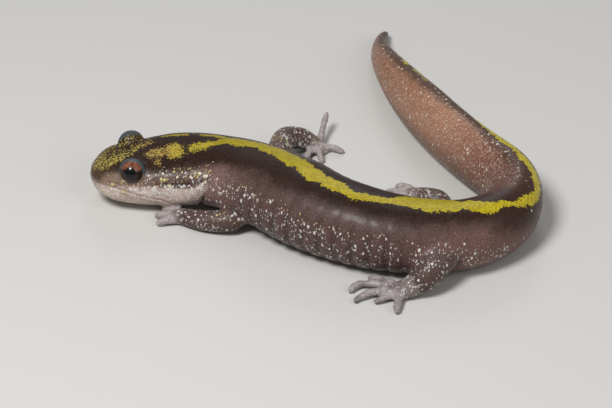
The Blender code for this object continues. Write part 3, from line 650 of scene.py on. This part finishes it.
def bodyShell():
    angles = np.arange(body["sides"]) * 2 * math.pi / body["sides"]
    snout = body["snoutRounding"] * (1 - np.cos(np.linspace(0, math.pi / 2, body["snoutRings"])[1:]))
    middle = np.arange(body["snoutRounding"] + body["ringStep"], bodyLength - body["tailRounding"],
                       body["ringStep"])
    tip = bodyLength - body["tailRounding"] * (1 - np.linspace(0, 1, body["tipRings"])) ** 2
    rings = [toWorld(*bodyPlaces(s, angles)) for s in np.concatenate([snout, middle, tip[:-1]])]
    nose = toWorld(np.float64(0.0), 0.0, outlineAt(np.float64(0.0))[3])
    end = toWorld(np.float64(bodyLength), 0.0, outlineAt(np.float64(bodyLength))[3])
    return shell(rings, nose, end)


def meshObject(name, points, faces):
    mesh = bpy.data.meshes.new(name)
    mesh.from_pydata([tuple(p) for p in points], [], faces)
    obj = bpy.data.objects.new(name, mesh)
    bpy.context.scene.collection.objects.link(obj)
    return obj


def meshArrays(mesh):
    points = np.empty(len(mesh.vertices) * 3)
    mesh.vertices.foreach_get("co", points)
    edges = np.empty(len(mesh.edges) * 2, int)
    mesh.edges.foreach_get("vertices", edges)
    return points.reshape(-1, 3), edges.reshape(-1, 2)


def paint(mesh, name, values):
    layer = mesh.attributes.new(name, "FLOAT", "POINT")
    layer.data.foreach_set("value", np.asarray(values, np.float32))


def sweepTree():
    # balls threaded on paths: each point carries its own width, and how flat the ball is
    tree, start, end = newGroup("sweepAlongPath", "GeometryNodeTree", (
        ("Paths", "NodeSocketGeometry", None), ("Ball Detail", "NodeSocketInt", 4),
        ("Thickness", "NodeSocketFloat", 1.0), ("Skin", "NodeSocketMaterial", None)),
        (("Geometry", "NodeSocketGeometry"),))
    wide, flat = (addNode(tree, "GeometryNodeInputNamedAttribute", {"Name": name}).outputs["Attribute"]
                  for name in ("wide", "flat"))
    width = times(tree, wide, start.outputs["Thickness"])
    size = addNode(tree, "ShaderNodeCombineXYZ", {"X": width, "Y": width, "Z": times(tree, width, flat)})
    ball = addNode(tree, "GeometryNodeMeshIcoSphere", {"Subdivisions": start.outputs["Ball Detail"]})
    thread = addNode(tree, "GeometryNodeInstanceOnPoints", {
        "Points": start.outputs["Paths"], "Instance": ball.outputs["Mesh"], "Scale": size.outputs[0]})
    real = addNode(tree, "GeometryNodeRealizeInstances", {0: thread.outputs[0]})
    surface = addNode(tree, "GeometryNodeSetMaterial", {
        "Geometry": real.outputs[0], "Material": start.outputs["Skin"]})
    tree.links.new(surface.outputs[0], end.inputs[0])
    return tree


sweepAlong = sweepTree()
sweepSockets = {i.name: i.identifier for i in sweepAlong.interface.items_tree if i.in_out == "INPUT"}


def plainMesh(obj):
    # what the object's modifiers make, as a mesh of its own
    bpy.context.view_layer.update()
    graph = bpy.context.evaluated_depsgraph_get()
    return bpy.data.meshes.new_from_object(obj.evaluated_get(graph), depsgraph=graph)


def sweepPaths(name, paths, detail):
    # paths: points, widths and flatness; gives the points and faces of the swept mesh
    obj = meshObject(name, np.concatenate([p for p, _, _ in paths]), [])
    paint(obj.data, "wide", np.concatenate([w for _, w, _ in paths]))
    paint(obj.data, "flat", np.concatenate([f for _, _, f in paths]))
    modifier = obj.modifiers.new("sweep", "NODES")
    modifier.node_group = sweepAlong
    modifier[sweepSockets["Ball Detail"]] = detail
    modifier[sweepSockets["Thickness"]] = 1.0
    modifier[sweepSockets["Skin"]] = wetSkin
    made = plainMesh(obj)
    points, _ = meshArrays(made)
    faces = [tuple(p.vertices) for p in made.polygons]
    bpy.data.objects.remove(obj)
    bpy.data.meshes.remove(made)
    return points, faces


def outwards(mesh, largestOnly=False):
    bm = bmesh.new()
    bm.from_mesh(mesh)
    bmesh.ops.remove_doubles(bm, verts=bm.verts, dist=1e-5)
    if largestOnly:
        unseen = set(bm.verts)
        groups = []
        while unseen:
            stack = [unseen.pop()]
            group = []
            while stack:
                vert = stack.pop()
                group.append(vert)
                for edge in vert.link_edges:
                    near = edge.other_vert(vert)
                    if near in unseen:
                        unseen.discard(near)
                        stack.append(near)
            groups.append(group)
        groups.sort(key=len)
        for group in groups[:-1]:
            bmesh.ops.delete(bm, geom=group, context="VERTS")
    bmesh.ops.recalc_face_normals(bm, faces=bm.faces)
    if bm.calc_volume(signed=True) < 0:
        bmesh.ops.reverse_faces(bm, faces=bm.faces)
    bm.to_mesh(mesh)
    bm.free()


skinMaking = {
    "voxel": 0.32,
    "headEnd": 16.5,          # the skin is finer in front of this
    "headLow": -2.6,          # and above this height over the spine
    "offLimbs": 0.6,          # and this far from the limbs
    "offEyes": 0.5,           # and finer again round the eyes, this far outside the lids
    "evenOut": 8,
    "evenHead": (4, 19.0),    # more rounds in front of a place, before the head is formed
    "evenLids": (2, 17.0),    # and after it
    "neckStart": 18.0,        # the body takes part in blends behind this
    "jointBlend": 1.3,        # how far the skin is blended round a shoulder or hip
    "jointRounds": 30,
    "jointPart": 0.28,        # how much of a limb counts as its joint, from its root
}


def neighbourMean(points, a, b, count):
    out = np.empty_like(points)
    for k in range(3):
        out[:, k] = np.bincount(a, points[b, k], len(points)) + np.bincount(b, points[a, k], len(points))
    return out / count[:, None]


def relax(points, edges, rounds, share, keepSize=True):
    # evens the surface out; share is how much each point takes part
    a, b = edges[:, 0], edges[:, 1]
    count = np.maximum(np.bincount(a, minlength=len(points)) + np.bincount(b, minlength=len(points)), 1)
    for _ in range(rounds):
        points = points + (neighbourMean(points, a, b, count) - points) * 0.5 * share[:, None]
        if keepSize:
            points = points - (neighbourMean(points, a, b, count) - points) * 0.52 * share[:, None]
    return points


def placesOnBody(points):
    # along the spine, aside to the left, height over the spine, and the arc from the middle of the back
    places, xs, ys, headings = spine
    nearest = np.empty(len(points), int)
    for i in range(0, len(points), 4000):
        block = points[i : i + 4000]
        nearest[i : i + 4000] = ((block[:, None, 0] - xs) ** 2 + (block[:, None, 1] - ys) ** 2).argmin(axis=1)
    heading = headings[nearest]
    dx, dy = points[:, 0] - xs[nearest], points[:, 1] - ys[nearest]
    along = places[nearest] + dx * np.cos(heading) + dy * np.sin(heading)
    aside = dx * np.sin(heading) - dy * np.cos(heading)
    _, _, _, spineUp, _, lean = outlineAt(np.clip(along, 0, bodyLength))
    up = points[:, 2] - spineUp
    flatAside = aside * np.cos(lean) - up * np.sin(lean)
    flatUp = up * np.cos(lean) + aside * np.sin(lean)
    down = math.pi / 2 - np.arctan2(flatUp, np.abs(flatAside))
    return along, flatAside, flatUp, np.hypot(flatAside, flatUp) * down * np.sign(flatAside)


def offTheBody(along, aside, up):
    # distance from the body's own surface, negative inside
    wide, tall, deep = (np.maximum(size, 1e-3) for size in outlineAt(np.clip(along, 0, bodyLength))[:3])
    return (np.hypot(aside / wide, up / np.where(up > 0, tall, deep)) - 1) * wide


def farFromPath(points, curve, wide):
    best = np.full(len(points), 1e9)
    # every third point will do, counted from the tip
    for centre, radius in zip(curve[::-3], wide[::-3]):
        best = np.minimum(best, np.linalg.norm(points - centre, axis=1) - radius)
    return best


def closeTo(points, curve, wide):
    # 1 on a path's surface, 0 half a millimetre off it
    return smoothStep(farFromPath(points, curve, wide), 0.5, 0.0)


def farFromLimbs(points, part=1.0):
    # part is how much of each limb is looked at, from its root
    best = np.full(len(points), 1e9)
    for limb in limbs:
        curve, wide, high, _, _ = limbPath(limb)
        upTo = int(len(curve) * part)
        best = np.minimum(best, farFromPath(points, curve[:upTo], (wide + high)[:upTo] / 2))
    return best


def fuse():
    # the body, the swell of the lids, the limbs and the digits become one closed skin
    shells = [bodyShell()]
    balls, arms, toes = [], [], []
    for side in (1, -1):
        balls.append((np.array([eyeFrame(side)[0]]), np.array([eyes["lidReach"]]), np.ones(1)))
    for limb in limbs:
        curve, wide, high, _, _ = limbPath(limb)
        arms.append((curve, wide, high / wide))
        for path, radii in digitPaths(limb):
            toes.append((path, radii, np.ones(len(path))))
    shells.append(sweepPaths("lids", balls, 5))
    shells.append(sweepPaths("limbs", arms, 3))
    shells.append(sweepPaths("digits", toes, 3))
    points, faces, start = [], [], 0
    for shellPoints, shellFaces in shells:
        points.append(shellPoints)
        faces += [tuple(v + start for v in face) for face in shellFaces]
        start += len(shellPoints)
    joined = meshObject("skin", np.concatenate(points), faces)
    remesh = joined.modifiers.new("fuse", "REMESH")
    remesh.mode = "VOXEL"
    remesh.voxel_size = skinMaking["voxel"]
    remesh.adaptivity = 0.0
    made = plainMesh(joined)
    joined.modifiers.clear()
    joined.data = made
    outwards(made, largestOnly=True)
    return joined


def refine(mesh, wanted):
    # cuts the edges of the chosen area in two
    bm = bmesh.new()
    bm.from_mesh(mesh)
    bm.verts.ensure_lookup_table()
    edges = [e for e in bm.edges if wanted[e.verts[0].index] and wanted[e.verts[1].index]]
    bmesh.ops.subdivide_edges(bm, edges=edges, cuts=1, use_grid_fill=True)
    bmesh.ops.triangulate(bm, faces=[f for f in bm.faces if len(f.verts) > 4])
    bm.to_mesh(mesh)
    bm.free()


skin = fuse()
print("fused", len(skin.data.vertices), "points")

points, edges = meshArrays(skin.data)
points = relax(points, edges, skinMaking["evenOut"], np.ones(len(points)))
nearLimb = np.abs(farFromLimbs(points))
nearJoint = np.abs(farFromLimbs(points, skinMaking["jointPart"]))
along, aside, up, arc = placesOnBody(points)
offBody = np.abs(offTheBody(along, aside, up))
# most where the root of a limb meets the side of the body
reach = skinMaking["jointBlend"]
blend = np.clip(1.6 - nearJoint / reach, 0, 1) * np.clip(1.8 - offBody / reach, 0, 1)
points = relax(points, edges, skinMaking["jointRounds"], blend * (along > skinMaking["neckStart"]),
               keepSize=False)
skin.data.vertices.foreach_set("co", points.ravel())

onHead = (along < skinMaking["headEnd"]) & (up > skinMaking["headLow"])
refine(skin.data, onHead & (nearLimb > skinMaking["offLimbs"]))
points, _ = meshArrays(skin.data)
toEye = np.minimum(*(eyePlaces(points, side)[0] for side in (1, -1)))
refine(skin.data, toEye < eyes["lidReach"] + skinMaking["offEyes"])
print("refined", len(skin.data.vertices), "points")

# lines on the side of the head and the neck, as (along, height over the spine)
headForm = {
    "mouth": ((-0.6, 0.35), (0.7, 0.4), (2.45, 0.3), (4.2, 0.05), (5.7, -0.28), (7.0, -0.5), (9.2, -0.98),
              (11.0, -1.42), (12.4, -2.1)),
    "mouthWidth": 0.15,
    "mouthDepth": 0.10,
    "lipWidth": 0.45,
    "lipRise": 0.07,
    "cheekFold": ((9.6, 1.5), (12.4, 1.55), (14.2, 1.5), (16.5, 1.6), (19.2, 1.75), (21.6, 2.15),
                  (22.6, 2.8)),
    "cheekFoldWidth": 0.24,
    "cheekFoldDepth": 0.10,
    "throatFold": ((21.6, 1.7), (21.2, 0.6), (20.45, -0.7), (19.2, -2.3), (18.2, -3.6)),
    "throatFoldWidth": 0.38,
    "throatFoldDepth": 0.42,
    "jowl": 0.22,             # how far the corner of the jaw swells in front of the throat fold
    "jowlAlong": 18.2,
    "jowlUp": -0.8,
    "jowlReach": 2.4,
    "nostrilAlong": 1.15,
    "nostrilAngle": 26.0,
    "nostrilRadius": 0.26,
    "nostrilDepth": 0.35,
}
grooves = {"first": 30.5, "count": 12, "spacing": 2.2, "depth": 0.24, "width": 0.2}
limbFold = {"depth": 0.16, "width": 0.4}


def nearLine(a, b, line):
    # distance in a plane to a line of points
    best = np.full(len(a), 1e9)
    for (x0, y0), (x1, y1) in zip(line[:-1], line[1:]):
        dx, dy = x1 - x0, y1 - y0
        t = np.clip(((a - x0) * dx + (b - y0) * dy) / (dx * dx + dy * dy), 0, 1)
        best = np.minimum(best, np.hypot(a - x0 - t * dx, b - y0 - t * dy))
    return best


def furrow(distance, width):
    return np.exp(-((distance / width) ** 2))


def grooveShare(along, aside, up, limbAway):
    # 1 in the middle of a costal groove on the flank, 0 between the grooves
    phase = (along - grooves["first"]) / grooves["spacing"]
    last = grooves["first"] + (grooves["count"] - 1) * grooves["spacing"]
    inside = np.clip((along - grooves["first"] + 1) / 2, 0, 1) * np.clip((last + 1 - along) / 2, 0, 1)
    slope = up / np.maximum(np.hypot(aside, up), 1e-6)
    onFlank = np.clip(0.85 - slope, 0, 1) * np.clip(1.4 + slope, 0, 1) * np.clip(limbAway / 1.5, 0, 1)
    return inside * furrow(phase - np.round(phase), grooves["width"]) * onFlank


def foldShare(along, aside, up, limbAway):
    # 1 in the fold between a limb and the side of the body
    both = furrow(offTheBody(along, aside, up), limbFold["width"]) * furrow(limbAway, limbFold["width"])
    return both * smoothStep(up, 0.8, -1.2) * (along > skinMaking["neckStart"])


def sideShare(aside, limbAway, clear):
    # 1 on the sides of the body, 0 in its middle plane and on the limbs
    return np.clip(np.abs(aside) / 1.2, 0, 1) * (limbAway > clear)


def nostrilPits():
    angle = math.radians(headForm["nostrilAngle"])
    along = np.float64(headForm["nostrilAlong"])
    return [toWorld(*bodyPlaces(along, np.float64(turn))) for turn in (angle, math.pi - angle)]


points, edges = meshArrays(skin.data)
along, aside, up, arc = placesOnBody(points)
rounds, end = skinMaking["evenHead"]
points = relax(points, edges, rounds, (along < end).astype(float))
skin.data.vertices.foreach_set("co", points.ravel())
skin.data.update()
normals = np.empty(len(points) * 3)
skin.data.vertex_normals.foreach_get("vector", normals)
normals = normals.reshape(-1, 3)
limbAway = farFromLimbs(points)
onSide = sideShare(aside, limbAway, 0.5)
toMouth = nearLine(along, up, headForm["mouth"])
push = -headForm["mouthDepth"] * furrow(toMouth, headForm["mouthWidth"])
lip = furrow(toMouth - headForm["lipWidth"] * 0.8, headForm["lipWidth"] * 0.45)
push += headForm["lipRise"] * lip * np.clip(1.5 - toMouth, 0, 1)
toCheek = nearLine(along, up, headForm["cheekFold"])
push -= headForm["cheekFoldDepth"] * furrow(toCheek, headForm["cheekFoldWidth"]) * onSide
toThroat = nearLine(along, up, headForm["throatFold"])
push -= headForm["throatFoldDepth"] * furrow(toThroat, headForm["throatFoldWidth"]) * onSide
toJowl = np.hypot(along - headForm["jowlAlong"], (up - headForm["jowlUp"]) / 1.3)
jowl = furrow(toJowl, headForm["jowlReach"]) * onSide
push += headForm["jowl"] * jowl * np.clip(toThroat / 0.6, 0, 1)
push -= grooves["depth"] * grooveShare(along, aside, up, limbAway)
push -= limbFold["depth"] * foldShare(along, aside, up, limbAway)
points = points + normals * push[:, None]

for pit in nostrilPits():
    hollow = furrow(np.linalg.norm(points - pit, axis=1), headForm["nostrilRadius"])
    points = points - normals * (headForm["nostrilDepth"] * hollow)[:, None]

# lids: the skin is drawn up to a rounded rim round each eyeball and dips under it
for side in (1, -1):
    near = np.where(eyePlaces(points, side)[0] < eyes["lidReach"] + eyes["margin"])[0]
    distance, unit, fromAxis, rise = eyePlaces(points[near], side)
    height = rise / np.maximum(np.sin(np.radians(fromAxis)), 1e-3)
    upperLid = eyes["upperLid"][0] if side > 0 else eyes["upperLid"][1]
    edge = eyes["opening"] - np.where(height > 0, upperLid, eyes["lowerLid"]) * np.abs(height)
    past = (fromAxis - edge) / eyes["rimWidth"]
    rim = eyes["socket"] + (eyes["lidRim"] - eyes["socket"]) * np.clip(0.5 + past * 1.2, 0, 1) ** 0.6
    swell = smoothStep(past, 0.0, eyes["swellEnd"])
    wanted = rim + (eyes["lidReach"] - eyes["lidRim"]) * swell
    holdTo, holdOver = eyes["hold"]
    hold = np.clip((holdTo - fromAxis) / holdOver, 0, 1)
    new = distance + (np.where(past < eyes["swellEnd"], wanted, distance) - distance) * hold
    points[near] = eyeFrame(side)[0] + unit * new[:, None]

rounds, end = skinMaking["evenLids"]
points = relax(points, edges, rounds, (along < end).astype(float))
points[:, 2] = np.maximum(points[:, 2], 0.0)
skin.data.vertices.foreach_set("co", points.ravel())
outwards(skin.data)
print("head formed")

# markings in millimetres: along the spine, and the arc from the middle of the back to the left
markings = {
    # along, middle of the stripe, half width
    "stripe": (
        (20.6, -1.5, 1.0), (22.0, -1.5, 1.35), (23.9, -1.6, 1.6), (26.0, -2.3, 1.6), (28.7, -2.3, 1.55),
        (31.0, -1.8, 1.65), (35.5, -1.25, 1.55), (39.0, -0.1, 1.45), (41.5, 0.1, 1.25), (44.2, 0.35, 1.05),
        (46.7, 0.85, 0.9), (48.7, 0.75, 0.95), (50.2, 0.25, 0.85), (51.7, 0.05, 0.55), (53.4, -0.6, 1.4),
        (56.4, -1.0, 2.05), (60.0, -0.75, 2.3), (62.0, -0.6, 1.7), (63.0, -0.3, 1.1), (64.3, 0.1, 1.5),
        (65.5, 0.7, 1.4), (66.7, 1.3, 1.2), (68.2, 1.5, 0.6), (69.8, 2.1, 0.58), (71.2, 2.65, 0.6),
        (73.0, 3.2, 0.68), (75.0, 3.05, 0.8), (76.2, 2.6, 0.95), (77.4, 2.45, 0.88), (78.8, 1.8, 0.95),
        (80.7, 0.95, 0.85), (83.3, 0.7, 0.8), (85.3, 0.65, 0.65), (88.0, 0.8, 0.6), (92.0, 1.1, 0.55),
        (95.0, 1.3, 0.25), (97.0, 1.3, -0.2), (106.0, 0.6, -0.4), (109.0, 0.45, 0.15), (112.0, 0.45, 0.3),
        (114.5, 0.45, 0.2), (115.8, 0.4, -0.2), (117.2, 0.3, 0.6), (118.6, 0.35, 0.6), (120.0, 0.5, 0.1),
        (123.5, 0.6, 0.15), (125.5, 0.6, -0.4), (139.0, 0.6, -0.9),
    ),
    # lines with a half width: the two forks on the neck and the streak on the far side of the crown
    "forks": (
        (((18.2, 0.3), (20.2, -0.3), (21.4, -1.2)), 0.6),
        (((16.8, -3.7), (18.2, -3.35), (19.7, -2.7), (21.4, -1.9)), 0.45),
        (((11.4, -4.2), (14.8, -4.2)), 0.35),
    ),
    # yellow flecks on the elbow and on the far upper arm: a place and a reach
    "yellowArms": (((-12.3, -9.0, 3.2), 2.6), ((-5.4, 9.5, 6.0), 4.0)),
    # gold stipple: lines with a half width and how solid it is
    "gold": (
        (((1.2, -1.6), (1.6, 0.2)), 0.8, 0.05),
        (((2.4, 1.7), (3.6, 1.2), (4.5, 0.9)), 0.9, 0.12),
        (((3.0, -1.2), (5.0, -0.6)), 0.8, -0.35),
        (((5.6, 0.5), (7.2, -1.3), (9.4, -2.5)), 0.5, 0.0),
        (((9.9, 1.2), (10.9, 1.2)), 0.95, 0.2),
        (((13.0, 0.6), (13.3, 1.9)), 1.0, 0.5),
        (((10.4, 3.0), (10.5, 4.6)), 0.4, -0.25),
        (((3.0, -2.6), (8.0, -4.6)), 1.2, -0.3),
        (((16.6, 0.8), (17.2, 0.5), (18.0, 0.4)), 0.65, 0.6),
    ),
    # places along the body, how far down the dark of the back goes, and where the flank's tone starts
    "tonePlaces": (0, 6, 12, 18, 30, 62, 74, 90, 139),
    "darkTo": (2.4, 4.4, 5.0, 4.4, 2.6, 2.4, 2.2, 1.2, 0.8),
    "lightFrom": (5.0, 7.2, 9.6, 8.8, 7.2, 6.8, 5.4, 3.0, 2.2),
    # the pale jaw ends at the throat (height over the spine, along) and at its top (along, height)
    "throat": ((-3.6, 18.4), (-2.3, 19.5), (-0.7, 20.8), (0.6, 21.6), (1.7, 22.0)),
    "jawTop": ((0, 0.2), (3, 0.5), (9, 0.95), (14, 0.9), (19, 1.1), (22, 1.4)),
    "jawSoftness": ((9.0, 0.9), (13.0, 0.35)),
    "jawStrength": ((12.0, 1.0), (17.0, 0.82), (21.0, 0.68)),
    # lines of flecks on the cheek and the temple, as (along, height over the spine), and their widths
    "cheek": ((6.5, 0.1), (9.0, 0.9), (13.0, 0.7), (20.0, 0.7)),
    "cheekWidth": 1.25,
    "temple": ((10.5, 1.9), (14.0, 2.4), (21.0, 2.6)),
    "templeWidth": 1.0,
    # where areas of flecks start, are full, begin to fade and end along the body
    "flank": (21.0, 25.0, 66.0, 82.0),
    "cheekArea": (4.0, 9.0, 19.0, 22.0),
    "neck": (20.0, 22.0, 25.0, 30.0),
    "frontHalf": (12.0, 13.0, 44.0, 56.0),
}
# how many flecks each area has, and how few count as none
fleckShare = {"flank": 0.75, "cheek": 2.5, "temple": 1.9, "neck": 0.85, "snout": 0.7, "jaw": 0.75,
              "tail": 0.40, "nearLimbs": 0.95, "farLimbs": 1.4, "fewest": 0.12}
creaseShading = {
    # how dark the painted shade in each crease is, and how wide a line of the head is
    "mouth": (0.20, 0.10),
    "cheekFold": (0.85, 0.15),
    "throatFold": (0.55, 0.22),
    "grooves": 0.45,
    "limbs": 0.60,
    "nostrils": 0.9,
    "cheekFoldArea": (9.0, 12.5, 20.5, 23.0),
}


def fade(at, stops):
    # a value that changes evenly between stops
    return np.interp(at, [place for place, _ in stops], [value for _, value in stops])


# painted shade along a line of the head
def headCreaseShade(along, up, name):
    dark, width = creaseShading[name]
    return dark * furrow(nearLine(along, up, headForm[name]), width)


def stripeMiddle(along):
    table = np.array(markings["stripe"])
    return smoothThrough(along, table[:, 0], table[:, 1])


def stripeField(along, arc):
    table = np.array(markings["stripe"])
    half = smoothThrough(along, table[:, 0], table[:, 2])
    half = np.where(along < table[0, 0], half - (table[0, 0] - along), half)
    return half - np.abs(arc - stripeMiddle(along))


points, edges = meshArrays(skin.data)
along, aside, up, arc = placesOnBody(points)
limbAway = farFromLimbs(points)
# the toes, the feet, and how much of each point belongs to a limb
toeWards, footWards = np.zeros(len(points)), np.zeros(len(points))
for limb in limbs:
    for path, radii in digitPaths(limb):
        toeWards = np.maximum(toeWards, closeTo(points, path, radii))
    curve, wide, _, _, _ = limbPath(limb)
    sole = slice(-2 * limbSpans, None)
    footWards = np.maximum(footWards, closeTo(points, curve[sole], wide[sole]))
ownSkin = smoothStep(offTheBody(along, aside, up), 0.1, 1.1) * (limbAway < 0.9)
limbShare = np.where(along > skinMaking["neckStart"], ownSkin, 1.0 * (limbAway < 0.35))
limbShare = np.maximum(limbShare, toeWards)
onLimb = limbShare > 0.3

stripe = stripeField(along, arc)
for line, radius in markings["forks"]:
    stripe = np.maximum(stripe, radius - nearLine(along, arc, line))
paint(skin.data, "stripe", np.where(onLimb, -5.0, stripe))

gold = np.full(len(points), -3.0)
for line, radius, solid in markings["gold"]:
    toLine = nearLine(along, arc, line)
    gold = np.maximum(gold, np.where(toLine < radius, solid, solid - (toLine - radius) * 1.3))
paint(skin.data, "gold", np.where(onLimb, -3.0, gold))

# 0 on the back and 1 low on the flank; on the tail the dark band keeps to the stripe
darkTo = np.interp(along, markings["tonePlaces"], markings["darkTo"])
lightFrom = np.interp(along, markings["tonePlaces"], markings["lightFrom"])
fromStripe = np.interp(along, (58, 68), (0.0, 1.0))
fromBand = np.abs(arc - stripeMiddle(along) * fromStripe)
paint(skin.data, "side", (fromBand - darkTo) / (lightFrom - darkTo))
paint(skin.data, "along", along)

throatAlong = fade(up, markings["throat"])
pale = smoothStep((up - fade(along, markings["jawTop"])) / fade(along, markings["jawSoftness"]), 1.0, -1.0)
pale *= smoothStep(along, throatAlong + 0.1, throatAlong - 0.25)
pale *= (limbAway > 0.5) * (1 - toeWards) * fade(along, markings["jawStrength"])
paint(skin.data, "pale", pale)

low = np.abs(arc)
onFlank = smoothStep(low, 5.2, 9.2) * within(along, *markings["flank"])
cheek = furrow(nearLine(along, up, markings["cheek"]), markings["cheekWidth"])
cheek *= within(along, *markings["cheekArea"])
temple = furrow(nearLine(along, up, markings["temple"]), markings["templeWidth"])
neck = within(along, *markings["neck"]) * smoothStep(low, 6.0, 9.0)
snoutSide = smoothStep(low, 3.5, 5.5) * smoothStep(along, 8.0, 5.0)
onTail = smoothStep(along, 66.0, 80.0)
fleck = np.maximum.reduce([
    fleckShare["flank"] * onFlank, fleckShare["cheek"] * cheek, fleckShare["temple"] * temple,
    fleckShare["neck"] * neck, fleckShare["snout"] * snoutSide, fleckShare["jaw"] * pale,
    fleckShare["tail"] * onTail,
    limbShare * np.where(arc < 0, fleckShare["farLimbs"], fleckShare["nearLimbs"]),
])
paint(skin.data, "fleck", np.maximum(fleck - fleckShare["fewest"], 0) * (1 - 0.85 * toeWards))

# where the flecks may be yellowish
upperFlank = within(low, 4.0, 5.5, 7.0, 9.5)
frontHalf = within(along, *markings["frontHalf"])
upperArms = np.zeros(len(points))
for place, reach in markings["yellowArms"]:
    toPlace = np.linalg.norm(points - np.array(place), axis=1)
    upperArms = np.maximum(upperArms, limbShare * smoothStep(toPlace, reach, reach * 0.5))
behindEye = cheek * smoothStep(along, 16.0, 12.0) * (1 - pale)
paint(skin.data, "yellow", np.maximum.reduce([
    upperFlank * frontHalf, temple, 0.5 * onTail, snoutSide, upperArms, 0.7 * behindEye]))
paint(skin.data, "limb", np.maximum(limbShare * 0.85, toeWards))
paint(skin.data, "toe", np.maximum(toeWards * (limbAway > -0.3), 0.4 * footWards * limbShare))

# painted reflection: a blue-grey sheen on the upper part of each lid rim
lid = np.zeros(len(points))
for side in (1, -1):
    distance, _, fromAxis, rise = eyePlaces(points, side)
    ring = smoothStep(fromAxis, 96.0, 78.0) * smoothStep(rise, -0.35, 0.25)
    lid = np.maximum(lid, ring * (distance < eyes["lidReach"] + 0.25))
paint(skin.data, "lid", lid)

onSide = sideShare(aside, limbAway, 0.4)
onCheek = onSide * within(along, *creaseShading["cheekFoldArea"])
# painted shade: the mouth line, the folds, the costal grooves, the limb folds and the nostril pits are
# darkened where shadow falls
creaseShade = np.maximum.reduce([
    headCreaseShade(along, up, "mouth"), headCreaseShade(along, up, "cheekFold") * onCheek,
    headCreaseShade(along, up, "throatFold") * onSide,
    creaseShading["grooves"] * grooveShare(along, aside, up, limbAway),
    creaseShading["limbs"] * foldShare(along, aside, up, limbAway),
])
for pit in nostrilPits():
    hollow = furrow(np.linalg.norm(points - pit, axis=1), headForm["nostrilRadius"] * 1.1)
    creaseShade = np.maximum(creaseShade, creaseShading["nostrils"] * hollow)
paint(skin.data, "creaseShade", creaseShade)
print("markings laid out")


def eyeBall(name, side):
    centre, way, top, across = eyeFrame(side)
    turn = np.arange(eyes["sides"]) * 2 * math.pi / eyes["sides"]
    out = np.outer(np.cos(turn), top) + np.outer(np.sin(turn), across)
    rings = []
    for angle in np.radians(np.linspace(180, 0, eyes["rings"])[1:-1]):
        rings.append(centre + eyes["radius"] * (way * math.cos(angle) + out * math.sin(angle)))
    obj = meshObject(name, *shell(rings, centre - way * eyes["radius"], centre + way * eyes["radius"]))
    outwards(obj.data)
    _, _, fromAxis, rise = eyePlaces(meshArrays(obj.data)[0], side)
    paint(obj.data, "fromAxis", fromAxis)
    paint(obj.data, "height", rise)
    return obj


# onto the frame: the left eye's middle in the solids and here give the shift
lowCorner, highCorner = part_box("eye_left")
shift = (np.array(lowCorner) + np.array(highCorner)) / 2 / mm - eyeFrame(1)[0]
eyeLeft, eyeRight = eyeBall("eyeLeft", 1), eyeBall("eyeRight", -1)
for obj, material, slot in ((skin, wetSkin, "dark_skin"), (eyeLeft, wetEye, "wet_eye"),
                            (eyeRight, wetEye, "wet_eye")):
    pts, _ = meshArrays(obj.data)
    obj.data.vertices.foreach_set("co", ((pts + shift) * mm).ravel())
    obj.data.update()
    obj.data.materials.clear()
    obj.data.materials.append(material)
    obj.data.shade_smooth()
    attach(obj, "root")
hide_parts(*[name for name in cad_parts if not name.startswith("eye")])
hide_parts("eye_left")
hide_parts("eye_right")
print("skin has", sum(len(p.vertices) - 2 for p in skin.data.polygons), "triangles")

stage = {
    "floorSize": 6.0,
    "floorColour": (0.60, 0.585, 0.56),
    "elevation": 34.0,        # the photo's viewing angle, in degrees
    "distance": 420.0,
    "focal": 6.4 * 420,       # in pixels of the photo
    "photoWidth": 612,
    "sensor": 36.0,
    "worldStrength": 0.20,
    "worldColour": (0.93, 0.96, 1.0),
    # soft round lamps that shine at the middle of the model: name, size, power and place in metres
    "lamps": (("keyLight", 0.14, 1.6, (-0.14, -0.20, 0.36)), ("fillLight", 0.35, 0.55, (0.35, -0.25, 0.30)),
              ("backLight", 0.20, 0.30, (0.05, 0.38, 0.30))),
}


def floorPiece():
    half = stage["floorSize"] / 2
    corners = [(-half, -half, 0), (half, -half, 0), (half, half, 0), (-half, half, 0)]
    floor = meshObject("floor", corners, [(0, 1, 2, 3)])
    material, _, _ = newMaterial("paleFloor", {
        "Base Color": (*stage["floorColour"], 1.0), "Roughness": 0.7})
    floor.data.materials.append(material)


floorPiece()
for name, size, power, place in stage["lamps"]:
    light = bpy.data.lights.new(name, "AREA")
    light.shape = "DISK"
    light.size = size
    light.energy = power
    lamp = bpy.data.objects.new(name, light)
    lamp.location = place
    lamp.rotation_euler = (-Vector(place)).to_track_quat("-Z", "Y").to_euler()
    bpy.context.scene.collection.objects.link(lamp)
world = bpy.data.worlds.new("studio")
world.use_nodes = True
background = world.node_tree.nodes["Background"]
background.inputs["Color"].default_value = (*stage["worldColour"], 1.0)
background.inputs["Strength"].default_value = stage["worldStrength"]
bpy.context.scene.world = world
bpy.context.scene.view_settings.view_transform = "Standard"

elevation = math.radians(stage["elevation"])
camera = bpy.data.cameras.new("camera")
camera.sensor_width = stage["sensor"]
camera.lens = stage["focal"] / stage["photoWidth"] * stage["sensor"]
camera.clip_start = 0.01
cameraObject = bpy.data.objects.new("camera", camera)
back = np.array([0.0, -stage["distance"] * math.cos(elevation), stage["distance"] * math.sin(elevation)])
cameraObject.location = Vector((shift + back) * mm)
cameraObject.rotation_euler = (math.pi / 2 - elevation, 0.0, 0.0)
bpy.context.scene.collection.objects.link(cameraObject)
bpy.context.scene.camera = cameraObject

print("stage set")
